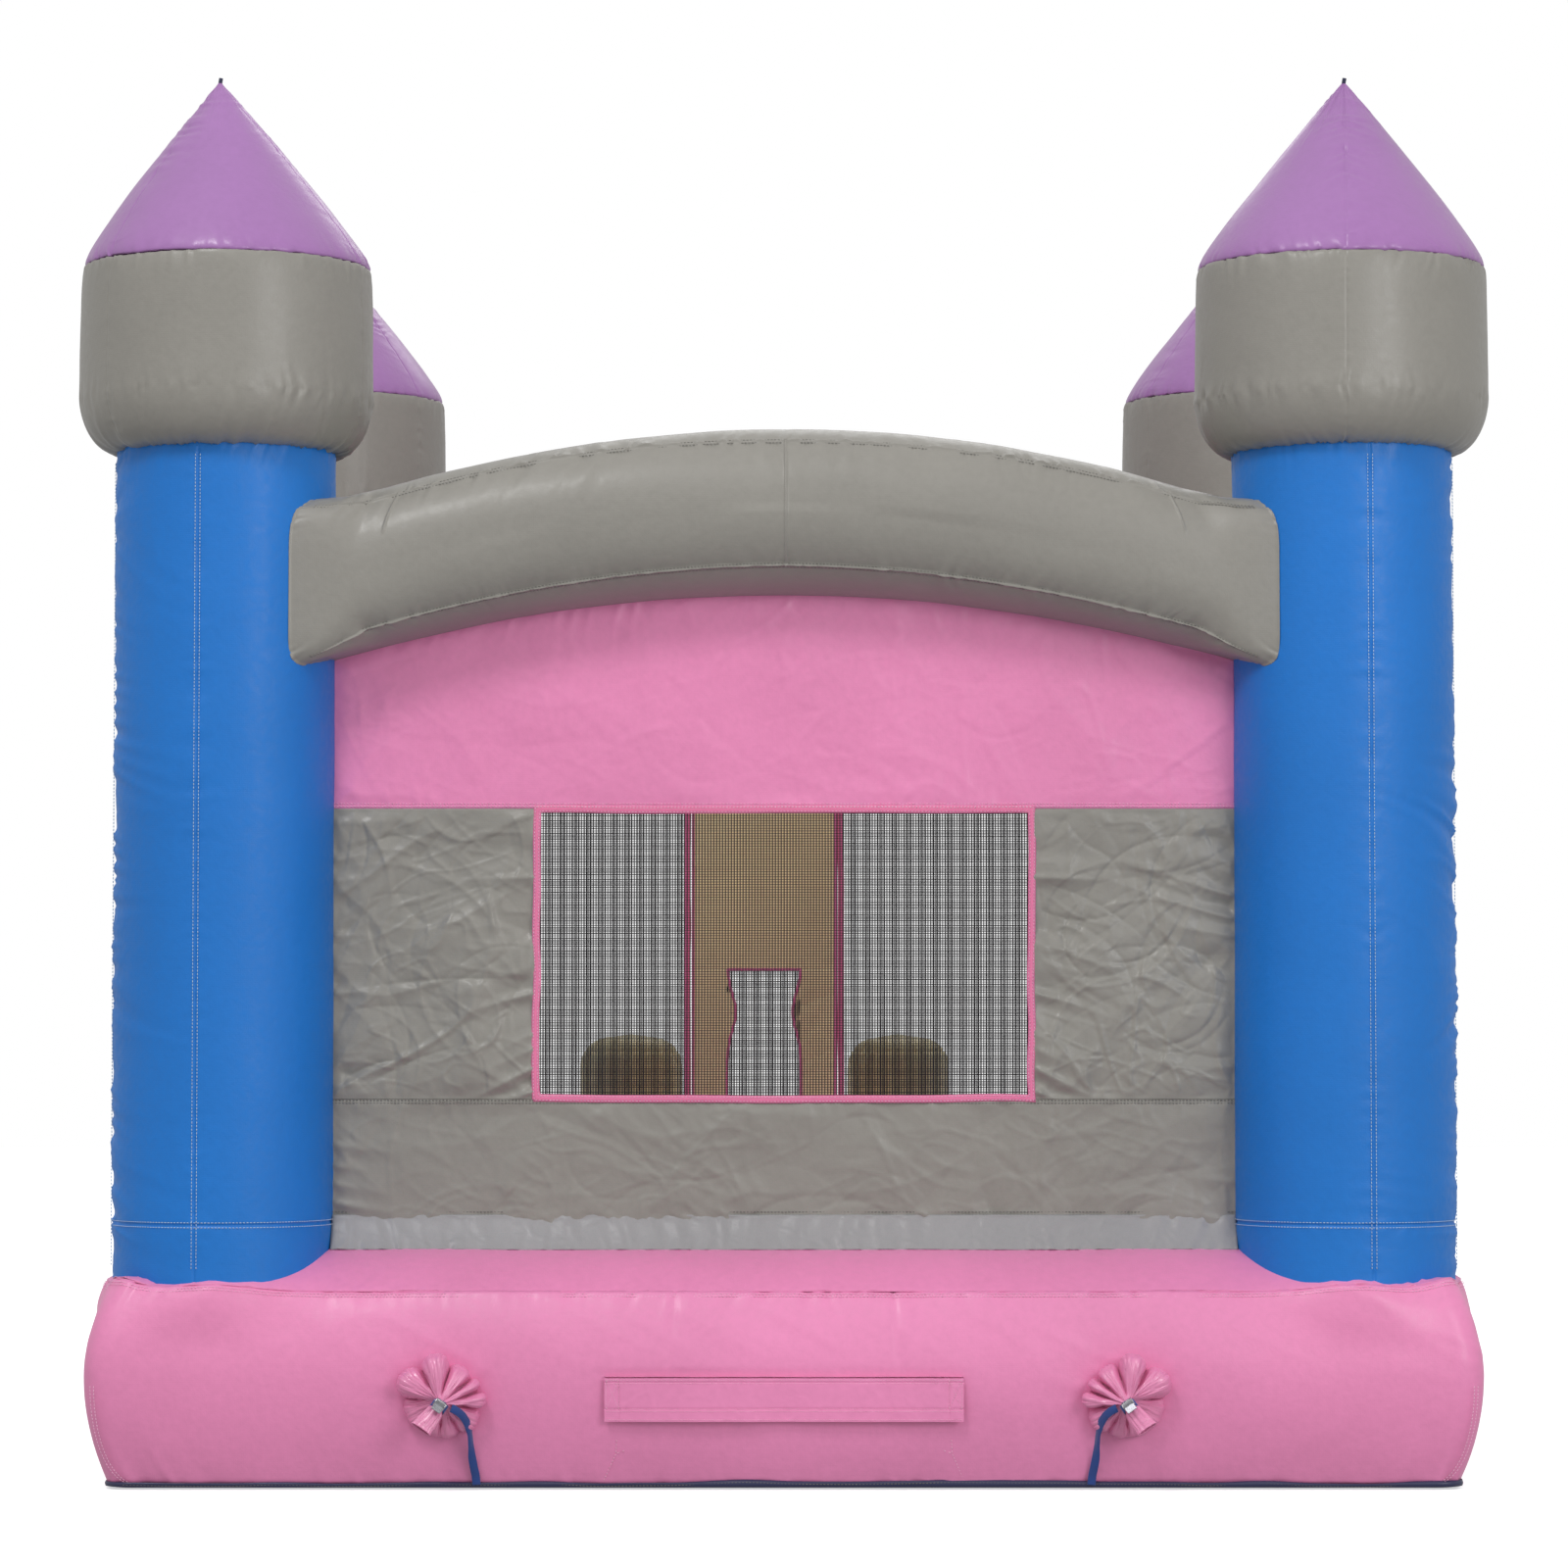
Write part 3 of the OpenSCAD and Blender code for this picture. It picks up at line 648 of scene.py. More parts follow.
def base_side():
    count = 1500
    path, s = rim_path(count)
    s = s * BASE_HALF
    v = np.linspace(0, 1, 76)
    v = v + 0.035 * np.sin(TAU * v)  # closer rows near both seams
    z_low = WALL_LOW[2] + 0.010
    seam = seam_points(path)
    z_top = seam[:, 2]
    z = z_low + (z_top[:, None] - z_low) * v[None]
    flat_z = z_low + (SEAM_Z - z_low) * v[None] + 0 * z
    u = side_u(flat_z)
    grid = np.stack([path[:, None, 0] * u, path[:, None, 1] * u, z], -1)
    drawn = ramp(v, 0.62, 1.0)[None] ** 1.3
    grid[..., :2] += (seam[:, None, :2] - grid[:, -1:, :2]) * drawn[..., None]
    ss = s[:, None] + 0 * z
    x, y = grid[..., 0], grid[..., 1]
    corner = near(np.minimum(np.abs(np.abs(x) - np.abs(y)), 1.0), 0.22)
    from_top = z_top[:, None] - z
    from_low = z - z_low
    h = puckers(ss, from_top, 3, 0.030, 0.075, 0.0022)
    h += puckers(ss, from_top, 5, 0.045, 0.20, 0.0065) * corner
    h += puckers(ss, from_low, 7, 0.050, 0.070, 0.0020)
    h += puckers(ss, from_low, 9, 0.050, 0.16, 0.0045) * corner
    h -= 0.0010 * near(from_top, 0.006)
    h += 0.0030 * layered(ss / 0.55, z / 0.35, 13, 3)
    slope = ss * 0.5 + z
    h += 0.0016 * (1 - 2.2 * np.abs(noise(slope / 0.07, (ss - z) / 0.5, 15))) * ramp(z, 0.25, 0.50)
    rear = (y < -1.5)
    for cx, lean in ((-0.31, -0.014), (0.31, 0.018)):
        line = x - cx - lean * (0.55 - z) / 0.2
        h -= 0.0040 * near(line, 0.007) * ramp(z, 0.30, 0.40) * rear
        h += 0.0014 * near(line - 0.03, 0.022) * ramp(z, 0.30, 0.40) * rear
    for cx in tube_places():
        dx, dz = x - cx, z - TUBE_Z
        r = np.hypot(dx, dz) + 1e-9
        a = np.arctan2(dz, dx)
        pull = near(r, 0.17)
        spokes = noise(a * 4.2 + 9, r / 0.5, 17)
        h += rear * (-0.016 * pull + 0.004 * spokes * pull * ramp(r, 0.04, 0.10))
    flap_half, flap_mid = FLAP_HIGH[0], (FLAP_LOW[2] + FLAP_HIGH[2]) / 2
    fade_x, fade_z = (flap_half + 0.064, flap_half + 0.004), (0.095, 0.068)
    behind = rear * ramp(np.abs(x), *fade_x) * ramp(np.abs(z - flap_mid), *fade_z)
    h -= behind * np.maximum(h + 0.0010, 0)  # kept back behind the zipper and its flap
    side = surface("base_side", grid, h, close_u=True)
    thicken(side, 0.002)
    finish_piece(side, PINK, nodes=("base_side_wall",))

    welt = tube("base_top_welt", seam[::2], 0.0018, sides=6, closed=True)
    finish_piece(welt, PINK)


def floor_height(x, y):
    """Height of the top sheet: domed up from its seam, with a soft roll between each pair of baffles."""
    def rise(e):
        return 1 - (1 - np.clip(e / 0.34, 0, 1)) ** 2.1
    ex, ey = SEAM_HALF - np.abs(x), SEAM_HALF - np.abs(y)
    dome = (CROWN_Z + 0.012 - SEAM_Z) * rise(ex) * rise(ey)
    inside = ramp(np.minimum(ex, ey), 0.30, 0.55)
    rolls = 0.020 * (np.abs(np.sin(math.pi * x / 0.53)) ** 0.6 - 0.7)
    return SEAM_Z + 0.002 + corner_lift(x, y) + dome + rolls * inside


def base_top():
    path, s = rim_path(760)
    s = s * SEAM_HALF
    t = np.concatenate([np.linspace(0.012, 0.80, 62), 1 - 0.20 * np.linspace(1, 0, 46)[1:] ** 1.4])
    x = path[:, None, 0] * SEAM_HALF * t[None]
    y = path[:, None, 1] * SEAM_HALF * t[None]
    z = floor_height(x, y)
    grid = np.stack([x, y, z], -1)
    seam = seam_points(path)
    grid += (seam - grid[:, -1])[:, None] * ramp(t, 0.93, 1.0)[None, :, None]
    edge = (1 - t[None]) * SEAM_HALF + 0 * x
    ss = s[:, None] + 0 * x
    h = puckers(ss, edge, 21, 0.035, 0.085, 0.0026)
    corner = near(np.minimum(np.abs(np.abs(x) - np.abs(y)), 1.0), 0.25) * ramp(t[None], 0.6, 0.9)
    h += puckers(ss, edge, 23, 0.045, 0.25, 0.006) * corner
    h += 0.0022 * layered(x / 0.35, y / 0.35, 25, 3)
    h *= ramp(t[None], 0.03, 0.12)
    top = surface("base_top", grid[:, ::-1], h[:, ::-1], close_u=True)
    thicken(top, 0.002)
    finish_piece(top, PINK, nodes=("jump_floor",))


def ground_sheet():
    """The navy bottom sheet, whose edge turns up round the foot of the side wall in small waves."""
    path, s = rim_path(900)
    s = s * BASE_HALF
    _, high = box("bottom_sheet")
    half = high[0]
    wave = 0.006 * layered(s / 0.30, 0 * s, 31, 2)
    levels = [(0.02, 0.0050), (0.55, 0.0050), (0.96, 0.0050), (0.992, 0.0050), (1.0, 0.008), (1.001, 0.015)]
    rows = []
    for share, z in levels:
        rows.append(np.stack([path[:, 0] * half * share, path[:, 1] * half * share, 0 * s + z], -1))
    top_z = high[2] + 0.002 + wave
    out = half + 0.001 + 0.002 * noise(s / 0.12, 0 * s, 33)
    rows.append(np.stack([path[:, 0] * out, path[:, 1] * out, top_z], -1))
    grid = np.stack(rows, 1)
    sheet = thicken(surface("ground_sheet", grid, close_u=True), 0.002)
    finish_piece(sheet, NAVY, nodes=("bottom_sheet",))
    stitch = rows[-1] - np.array([0, 0, 0.008])
    outward = np.stack([path[:, 0], path[:, 1], 0 * s], -1)
    stitch_row(np.vstack([stitch, stitch[:1]]) + 0.0012 * np.vstack([outward, outward[:1]]),
               np.vstack([outward, outward[:1]]), GREY_THREAD)


def base_stitching():
    """Curved patch seams at the lower corners of the rear side and the two small forked ones."""
    def on_rear(x, z):
        return np.stack([x, -side_u(z) - 0.003, z], -1)
    for sign in (-1, 1):
        a = np.linspace(0.06, 0.5 * math.pi, 40)
        x = 1.82 + 0.135 * np.sin(a) ** 0.8
        z = 0.012 + 0.285 * (1 - np.cos(a))
        for shift in (0, 0.010):
            stitch_row(on_rear(sign * (x - shift), z), (0, -1, 0), PINK_THREAD)
        stem = np.linspace(0, 1, 12)
        stitch_row(on_rear(sign * (0.510 - 0.036 * stem), 0.024 + 0.080 * stem), (0, -1, 0), PINK_THREAD)
        stitch_row(on_rear(sign * (0.474 - 0.002 * stem), 0.104 + 0.042 * stem), (0, -1, 0), PINK_THREAD)
        stitch_row(on_rear(sign * (0.474 - 0.027 * stem), 0.104 + 0.010 * stem), (0, -1, 0), PINK_THREAD)
    path, s = rim_path(1200)
    for drop in (0.010, 0.018):
        out = np.stack([path[:, 0], path[:, 1], 0.3 + 0 * s], -1)
        row = seam_points(path) + np.array([0, 0, -drop]) + out * (side_u(SEAM_Z - drop) - side_u(SEAM_Z) + 0.0012)
        stitch_row(np.vstack([row, row[:1]]), np.vstack([out, out[:1]]), PINK_THREAD)


# ---- towers ----

# Each tower's lengthwise seams, as turns from straight out of the rear or front face towards its outer side
COLUMN_SEAMS = (math.radians(8.5), math.radians(80), math.radians(200))
CAP_SEAMS = (math.radians(-4), math.radians(116), math.radians(236))
RING_SEAM_Z = 0.745
CONE_LEAN = {"rear_left": -0.024, "rear_right": 0.011, "front_right": 0.012, "front_left": -0.010}


def tower_sign(corner):
    return (-1 if corner.endswith("left") else 1, -1 if corner.startswith("rear") else 1)


def tower_place(corner):
    sx, sy = tower_sign(corner)
    return np.array([sx * TOWER_AT, sy * TOWER_AT, 0.0])


def seam_angle(corner, turn):
    """The compass angle of a seam that lies turn round from straight out, towards the outer side."""
    sx, sy = tower_sign(corner)
    return math.atan2(sy * math.cos(turn), sx * math.sin(turn))


def cap_seams(corner):
    """The seams of a drum and its cone; the rear left tower's are turned further round."""
    spin = 0.9 if corner == "rear_left" else 0.0
    return [seam_angle(corner, turn + spin) for turn in CAP_SEAMS]


def angle_from(theta, where):
    return (theta - where + math.pi) % TAU - math.pi


def revolve(corner, theta, r, z):
    """Points of a surface of revolution on a tower's axis."""
    c = tower_place(corner)
    return np.stack([c[0] + r * np.cos(theta), c[1] + r * np.sin(theta), z], -1)


def column(corner, seed):
    seams = [seam_angle(corner, turn) for turn in COLUMN_SEAMS]
    angles = round_turn(300, seams, 0.05)
    rows = clustered(COLUMN_LOW[2], NECK_Z + 0.012, 250, [RING_SEAM_Z, NECK_Z], 0.03, 3)
    theta, z = np.meshgrid(angles, rows, indexing="ij")
    grid = revolve(corner, theta, COLUMN_R + 0 * z, z)
    s = theta * COLUMN_R
    h = 0.0022 * layered(s / 0.30, z / 0.45, seed, 3)
    for k, where in enumerate(seams):
        d = angle_from(theta, where) * COLUMN_R
        outer = k == 1
        patchy = 0.40 + 0.60 * near(z - 1.42, 0.50) if outer else 0.7
        reach, height = (0.24, 0.0130) if outer else (0.050, 0.0036)
        h += puckers(z, d, seed + 20 + k, 0.046, reach, height) * patchy
        h += puckers(z, d, seed + 25 + k, 0.019, reach * 0.5, height * 0.4) * patchy
        h -= 0.0030 * near(d, 0.005)
    ring = z - RING_SEAM_Z
    h -= 0.0040 * near(ring, 0.005)
    h += puckers(s, ring, seed + 30, 0.030, 0.035, 0.0018)
    h += puckers(s, NECK_Z - z, seed + 31, 0.032, 0.06, 0.0030)
    body = surface(f"column_skin_{corner}", grid, h, close_u=True, caps=True)
    finish_piece(body, BLUE, nodes=(f"column_{corner}",))

    zz = np.linspace(0.62, NECK_Z - 0.03, 120)
    for a in seams:
        for shift in (-0.007, 0.007):
            b = a + shift / COLUMN_R
            out = np.array([math.cos(b), math.sin(b), 0])
            stitch_row(revolve(corner, b + 0 * zz, COLUMN_R + 0.0014, zz), out, BLUE_THREAD)
    a = np.linspace(0, TAU, 200)
    out = np.stack([np.cos(a), np.sin(a), 0 * a], -1)
    for shift in (-0.007, 0.007):
        stitch_row(revolve(corner, a, COLUMN_R + 0.0014, RING_SEAM_Z + shift + 0 * a), out, BLUE_THREAD)


def drum_profile(v):
    """Radius and height of the drum's skin, from its neck up to the cone's seam."""
    swell = DRUM_R - COLUMN_R
    bottom = 0.44
    a = np.clip(v / bottom, 0, 1) * math.pi / 2
    low_r = COLUMN_R + swell * np.sin(a) ** 0.92
    low_z = NECK_Z + 0.165 * (1 - np.cos(a)) ** 0.92
    w = np.clip((v - bottom) / (1 - bottom), 0, 1)
    r = np.where(v <= bottom, low_r, DRUM_R - 0.006 * w**2.2 - 0.006 * np.exp((w - 1) / 0.05))
    z = np.where(v <= bottom, low_z, NECK_Z + 0.165 + (CONE_Z - NECK_Z - 0.165) * w)
    return r, z


def drum(corner, seed):
    seams = cap_seams(corner)
    theta, v = np.meshgrid(round_turn(400, seams, 0.04), clustered(0, 1, 120, [0, 1], 0.08, 3), indexing="ij")
    r, z = drum_profile(v)
    grid = revolve(corner, theta, r, z)
    s = theta * DRUM_R
    inward = seam_angle(corner, -math.pi / 2)
    busy = 0.55 + 0.75 * near(angle_from(theta, inward), 1.1)
    from_neck = v / 0.44 * 0.21
    from_top = CONE_Z - z
    h = 0.0022 * layered(s / 0.35, z / 0.25, seed, 3)
    h += puckers(s, from_neck, seed + 1, 0.034, 0.17, 0.0085) * busy
    h += puckers(s, from_neck, seed + 2, 0.016, 0.09, 0.0035)
    h += puckers(s, from_top, seed + 3, 0.024, 0.060, 0.0042)
    h -= 0.0012 * near(from_top, 0.005)
    for k, where in enumerate(seams):
        d = angle_from(theta, where) * DRUM_R
        h += puckers(z, d, seed + 5 + k, 0.028, 0.035, 0.0012) - 0.0012 * near(d, 0.004)
    lip = z - (NECK_Z + 0.150)
    h += (puckers(s, lip, seed + 11, 0.022, 0.050, 0.0050) + puckers(s, lip, seed + 12, 0.012, 0.025, 0.0020)) * busy
    body = surface(f"drum_skin_{corner}", grid, h, close_u=True, caps=True)
    finish_piece(body, GREY, nodes=(f"drum_{corner}",))


def cone(corner, seed):
    seams = cap_seams(corner)
    theta, v = np.meshgrid(round_turn(380, seams, 0.05), clustered(0, 1, 130, [0, 1], 0.10, 2), indexing="ij")
    r = (CONE_R + 0.006) * (1 - v) + 0.020 * np.sin(math.pi * v**0.6) - 0.002 - 0.010 * np.exp(-v / 0.035)
    z = CONE_Z + (TIP_Z + 0.008 - CONE_Z) * v
    grid = revolve(corner, theta, r, z)
    grid[..., 0] += CONE_LEAN[corner] * v
    s = theta * CONE_R
    from_foot = (z - CONE_Z) * 1.25
    from_tip = (TIP_Z - z) * 1.25
    room = np.clip(r / 0.12, 0.05, 1)
    h = 0.0020 * layered(s / 0.40, z / 0.25, seed, 3) * room
    h += puckers(s, from_foot, seed + 1, 0.024, 0.065, 0.0040)
    h -= 0.0012 * near(from_foot, 0.005)
    for k, where in enumerate(seams):
        d = angle_from(theta, where) * r
        high = 0.25 + 0.75 * ramp(v, 0.30, 0.75)
        h += puckers(z, d, seed + 3 + k, 0.022, 0.085, 0.0055) * high * room
        h += puckers(z, d, seed + 7 + k, 0.035, 0.05, 0.0012)
        h -= 0.0016 * near(d, 0.004) * room
        d = angle_from(theta, where + 0.42) * r
        h += puckers(z, d, seed + 13 + k, 0.016, 0.030, 0.0022) * ramp(v, 0.35, 0.6) * room
    h += puckers(s * 2, from_tip, seed + 9, 0.060, 0.16, 0.0050) * room
    body = surface(f"cone_skin_{corner}", grid, h, close_u=True, caps=True)
    finish_piece(body, PURPLE, nodes=(f"cone_{corner}",))

    top = tower_place(corner) + np.array([CONE_LEAN[corner], 0, TIP_Z - 0.006])
    nub = tube(f"cone_nub_{corner}", [top, top + [0.001, 0, 0.008], top + [0.003, -0.001, 0.020]], 0.006, 8,
               up=(0, 1, 0))
    finish_piece(nub, TAB)


# ---- arches, made for the rear side and turned ----

ARCH_HALF = 1.42  # about half the arch's length
ARCH_LIFT = 0.062  # how much closer the underside is to the centre line at the ends
ARCH_SEAMS = (math.radians(50), math.radians(138), math.radians(222), math.radians(-42))


def arch_low(share):
    """Distance from the arch's centre line down to its underside, at a share of its half length."""
    return ARCH_R - ARCH_LIFT * np.abs(share) ** 2.2


def arch_under(x):
    """Height of the arch's underside over the wall at x."""
    return ARCH_MID_Z - ARCH_SWEEP + np.sqrt((ARCH_SWEEP - arch_low(x / ARCH_HALF)) ** 2 - x**2)


def arch_points(u, phi):
    """Points of the arch's skin: u runs from -1 to 1 along it, phi round it from the outer face upwards."""
    square = 2.25 + 0.5 * np.abs(u) + 5.5 * ramp(np.abs(u), 0.86, 1.0)
    c, s = np.cos(phi), np.sin(phi)
    dy = -ARCH_R * np.sign(c) * np.abs(c) ** (2 / square)
    up = np.sign(s) * np.abs(s) ** (2 / square)
    dr = np.where(up > 0, ARCH_R * up, arch_low(u) * up)
    end = TOWER_AT - np.sqrt(np.maximum(COLUMN_R**2 - dy**2, 0.01)) + 0.002
    a = u * np.arcsin(end / (ARCH_SWEEP + dr))
    x = (ARCH_SWEEP + dr) * np.sin(a)
    z = ARCH_MID_Z - ARCH_SWEEP + (ARCH_SWEEP + dr) * np.cos(a)
    flat = ramp(np.abs(u), 0.93, 1.0) * np.maximum(up, 0)
    return np.stack([x, -TOWER_AT + dy, z + 0.020 * flat], -1)


def arch(side, seed):
    patch = 1.15 / ARCH_HALF
    along = clustered(-1, 1, 420, [0, -1, 1, patch, -patch], 0.012, 4)
    round_it = round_turn(230, ARCH_SEAMS, 0.06)
    u, phi = np.meshgrid(along, round_it, indexing="ij")
    grid = arch_points(u, phi)
    s = u * ARCH_HALF
    h = 0.0030 * layered(s / 0.40, phi / 1.3, seed, 3)
    for k, at in enumerate(ARCH_SEAMS):
        d = angle_from(phi, at) * ARCH_R
        top = k < 2
        outwards = d if k == 0 else -d
        above = ramp(outwards, -0.004, 0.004) if top else 1.0
        fade = ramp(1 - np.abs(u), 0.02, 0.12)
        h += puckers(s, d, seed + 3 * k, 0.022, 0.055, 0.0060 if top else 0.0016) * above * fade
        h += puckers(s, d, seed + 3 * k + 1, 0.036, 0.10, 0.0042 if top else 0.0022) * fade
        h -= 0.0060 * near(d, 0.0055) * fade
    lines = np.abs(angle_from(phi, math.radians(4))) < math.radians(46)
    h -= 0.0045 * near(s - 0.005, 0.004) * lines
    corner = np.abs(angle_from(phi, math.radians(34))) < math.radians(16)
    h -= 0.0035 * near(np.abs(s) - 1.15, 0.004) * corner
    end_d = (1 - np.abs(u)) * ARCH_HALF
    h += puckers(phi * ARCH_R, end_d, seed + 15, 0.05, 0.13, 0.0060)
    h += puckers(phi * ARCH_R, end_d, seed + 16, 0.02, 0.04, 0.0020)
    h -= 0.004 * near(end_d, 0.006)
    body = surface(f"arch_skin_{side}", turned(grid, side).transpose(1, 0, 2), h.T, close_u=True, caps=True)
    finish_piece(body, GREY, nodes=(f"arch_{side}",))

    uu = np.linspace(-0.97, 0.97, 200)
    for at in ARCH_SEAMS:
        for shift in (-0.008, 0.008):
            phi_row = at + shift / ARCH_R + 0 * uu
            path = arch_points(uu, phi_row)
            out = path - arch_points(uu, phi_row + math.pi)
            path = path + 0.0012 * out / np.linalg.norm(out, axis=1, keepdims=True)
            stitch_row(turned(path, side), turned(out, side), GREY_THREAD)


# ---- wall panels, made for the rear side and turned ----

def flat_panel(name, side, x0, x1, z0, z1, seed, material, nodes, crumpled=1.0, step=0.008, top=None):
    """One creased sheet stretched in a wall. top gives the height of a curved upper edge."""
    nx = int((x1 - x0) / step) + 2
    tallest = z1 if top is None else float(top(np.zeros(1))[0])
    nz = int((tallest - z0) / step) + 2
    u, v = np.meshgrid(np.linspace(0, 1, nx), np.linspace(0, 1, nz), indexing="ij")
    x = x0 + (x1 - x0) * u
    head = tallest if top is None else top(x)
    z = z0 + (head - z0) * v
    count = int(130 * crumpled * (x1 - x0) * (tallest - z0)) + 6
    left, right = u * (x1 - x0), (1 - u) * (x1 - x0)
    below, above = v * (head - z0), (1 - v) * (head - z0)
    edge = np.minimum(np.minimum(left, right), np.minimum(below, above))
    h = creases(x, z, seed, count, 0.21, 0.0050 * crumpled)
    h += crumple(x, z, seed + 1, 0.17, 0.0060 * crumpled)
    h += crumple(x, z, seed + 2, 0.10, 0.0034 * crumpled, slant=-0.7, octaves=2)
    h += 0.009 * crumpled * layered(x / 0.30, z / 0.30, seed + 3, 2)
    h *= ramp(edge, 0.0, 0.05)
    for k, (run, off) in enumerate(((z, left), (z, right))):
        h += puckers(run, off, seed + 4 + k, 0.055, 0.22, 0.0070) * crumpled
    for k, (run, off) in enumerate(((x, below), (x, above))):
        h += puckers(run, off, seed + 6 + k, 0.045, 0.09, 0.0035)
    h *= ramp(edge, -0.004, 0.02)
    grid = turned(np.stack([x, WALL_Y - h, z], -1), side)
    sheet = thicken(surface(name, grid), 0.0018)
    finish_piece(sheet, material, nodes=nodes)
    return sheet


def wall_rows(side, x0, x1, z, material=None, rows=(0.004, 0.012), out=0.0025):
    """Level stitch rows below the height z."""
    x = np.linspace(x0, x1, 60)
    n = turned(np.array([0, -1.0, 0]), side)
    for drop in rows:
        path = turned(np.stack([x, 0 * x + WALL_Y - out, 0 * x + z - drop], -1), side)
        stitch_row(path, n, material)


def netting(name, side, x0, x1, z0, z1, nodes):
    """Woven netting: stout upright threads and finer level ones, following a slight sag."""
    pitch_x, pitch_z = 0.0085, 0.0074
    points, faces = [], []
    made = 0
    for upright in (True, False):
        pitch, width, thick, steps = (pitch_x, 0.0031, 0.0018, 15) if upright else (pitch_z, 0.0018, 0.0013, 21)
        a0, a1, b0, b1 = (x0, x1, z0, z1) if upright else (z0, z1, x0, x1)
        count = round((a1 - a0) / pitch) + 1
        a = np.linspace(a0, a1, count)[:, None]
        b = np.linspace(b0 - 0.006, b1 + 0.006, steps)[None] + 0 * a
        a = a + 0.0012 * noise(a / 0.9, b / 0.9, 73 + upright)
        x, z = (a, b) if upright else (b, a)
        u, v = (x - x0) / (x1 - x0), (z - z0) / (z1 - z0)
        slack = np.clip(4 * u * (1 - u), 0, 1) * np.clip(4 * v * (1 - v), 0, 1)
        y = WALL_Y + 0.010 * slack * noise(x / 0.4, z / 0.5, 71)
        for p, q in ((-1, 0), (0, -1), (1, 0), (0, 1)):
            shift = p * width / 2
            shift_x, shift_z = (shift, 0) if upright else (0, shift)
            points.append(np.stack([x + shift_x, y + q * thick / 2, z + shift_z], -1))
        block = np.stack(points[-4:], 2)  # thread, step, corner
        i, j, c = np.meshgrid(np.arange(count), np.arange(steps - 1), np.arange(4), indexing="ij")
        d = (c + 1) % 4
        at = made + (i * steps + j) * 4
        faces.append(np.stack([at + c, at + 4 + c, at + 4 + d, at + d], -1).reshape(-1, 4))
        ends = made + np.arange(count)[:, None] * steps * 4
        faces.append(ends + np.array([[0, 1, 2, 3]]))
        faces.append(ends + (steps - 1) * 4 + np.array([[3, 2, 1, 0]]))
        points[-4:] = [block.reshape(-1, 3)]
        made += count * steps * 4
    obj = mesh_object(name, turned(np.vstack(points), side), np.vstack(faces), smooth=False)
    finish_piece(obj, NETTING, nodes=nodes)


def binding(name, side, x0, x1, z0, z1, nodes, seed):
    """Folded tape round a window, a little wavy, with stitching along it."""
    wide, thick = 0.022, 0.007
    n = 90
    t = np.linspace(0, 1, n, False)
    mx, mz = (x0 + x1) / 2, (z0 + z1) / 2
    hx, hz = (x1 - x0 + wide) / 2, (z1 - z0 + wide) / 2
    cx = np.concatenate([2 * t - 1, 0 * t + 1, 1 - 2 * t, 0 * t - 1])
    cz = np.concatenate([0 * t - 1, 2 * t - 1, 0 * t + 1, 1 - 2 * t])
    wave = 0.0030 * noise(np.arange(4 * n) / 14, 0.0, seed)
    rings = []
    for a, b in flat_section(wide, thick):
        x = mx + cx * (hx + a) + wave * (np.abs(cx) == 1)
        z = mz + cz * (hz + a) + wave * (np.abs(cz) == 1)
        rings.append(np.stack([x, WALL_Y - b + 0.4 * wave, z], -1))
    grid = turned(np.stack(rings, 0), side)
    obj = mesh_object(name, grid.reshape(-1, 3), grid_faces(grid.shape[0], grid.shape[1], True, True)[:, ::-1])
    finish_piece(obj, BINDING, nodes=nodes)
    out = turned(np.array([0, -1.0, 0]), side)
    for shift in (-0.006, 0.006):
        path = np.stack([mx + cx * (hx + shift), WALL_Y - thick / 2 - 0.0004 + 0 * cx, mz + cz * (hz + shift)], -1)
        path = path + np.stack([wave * (np.abs(cx) == 1), 0.4 * wave, wave * (np.abs(cz) == 1)], -1)
        stitch_row(turned(np.vstack([path, path[:1]]), side), out, PINK_THREAD)


def skirt(side, x0, x1, seed, index):
    """The pale strip that leaves the wall and slopes out to the base."""
    nx = int((x1 - x0) / 0.007)
    u, v = np.meshgrid(np.linspace(0, 1, nx), np.linspace(0, 1, 24), indexing="ij")
    x = x0 + (x1 - x0) * u
    foot_y = WALL_Y - 0.055
    y = WALL_Y - 0.003 + (foot_y - WALL_Y) * v**1.3
    foot = floor_height(x, 0 * x + foot_y) - 0.005
    z = SKIRT_Z + 0.004 + (foot - SKIRT_Z) * v
    grid = np.stack([x, y, z], -1)
    h = puckers(x, v * 0.11, seed, 0.040, 0.11, 0.0050) + puckers(x, (1 - v) * 0.11, seed + 1, 0.026, 0.05, 0.0034)
    h += crumple(x, z, seed + 2, 0.05, 0.0030)
    h *= ramp(v, 0.0, 0.10)
    h -= h.min() * 0.2
    sheet = thicken(surface(f"skirt_{side}_{index}", turned(grid, side), -h), 0.0016)
    finish_piece(sheet, PALE, nodes=("wall_skirts",))


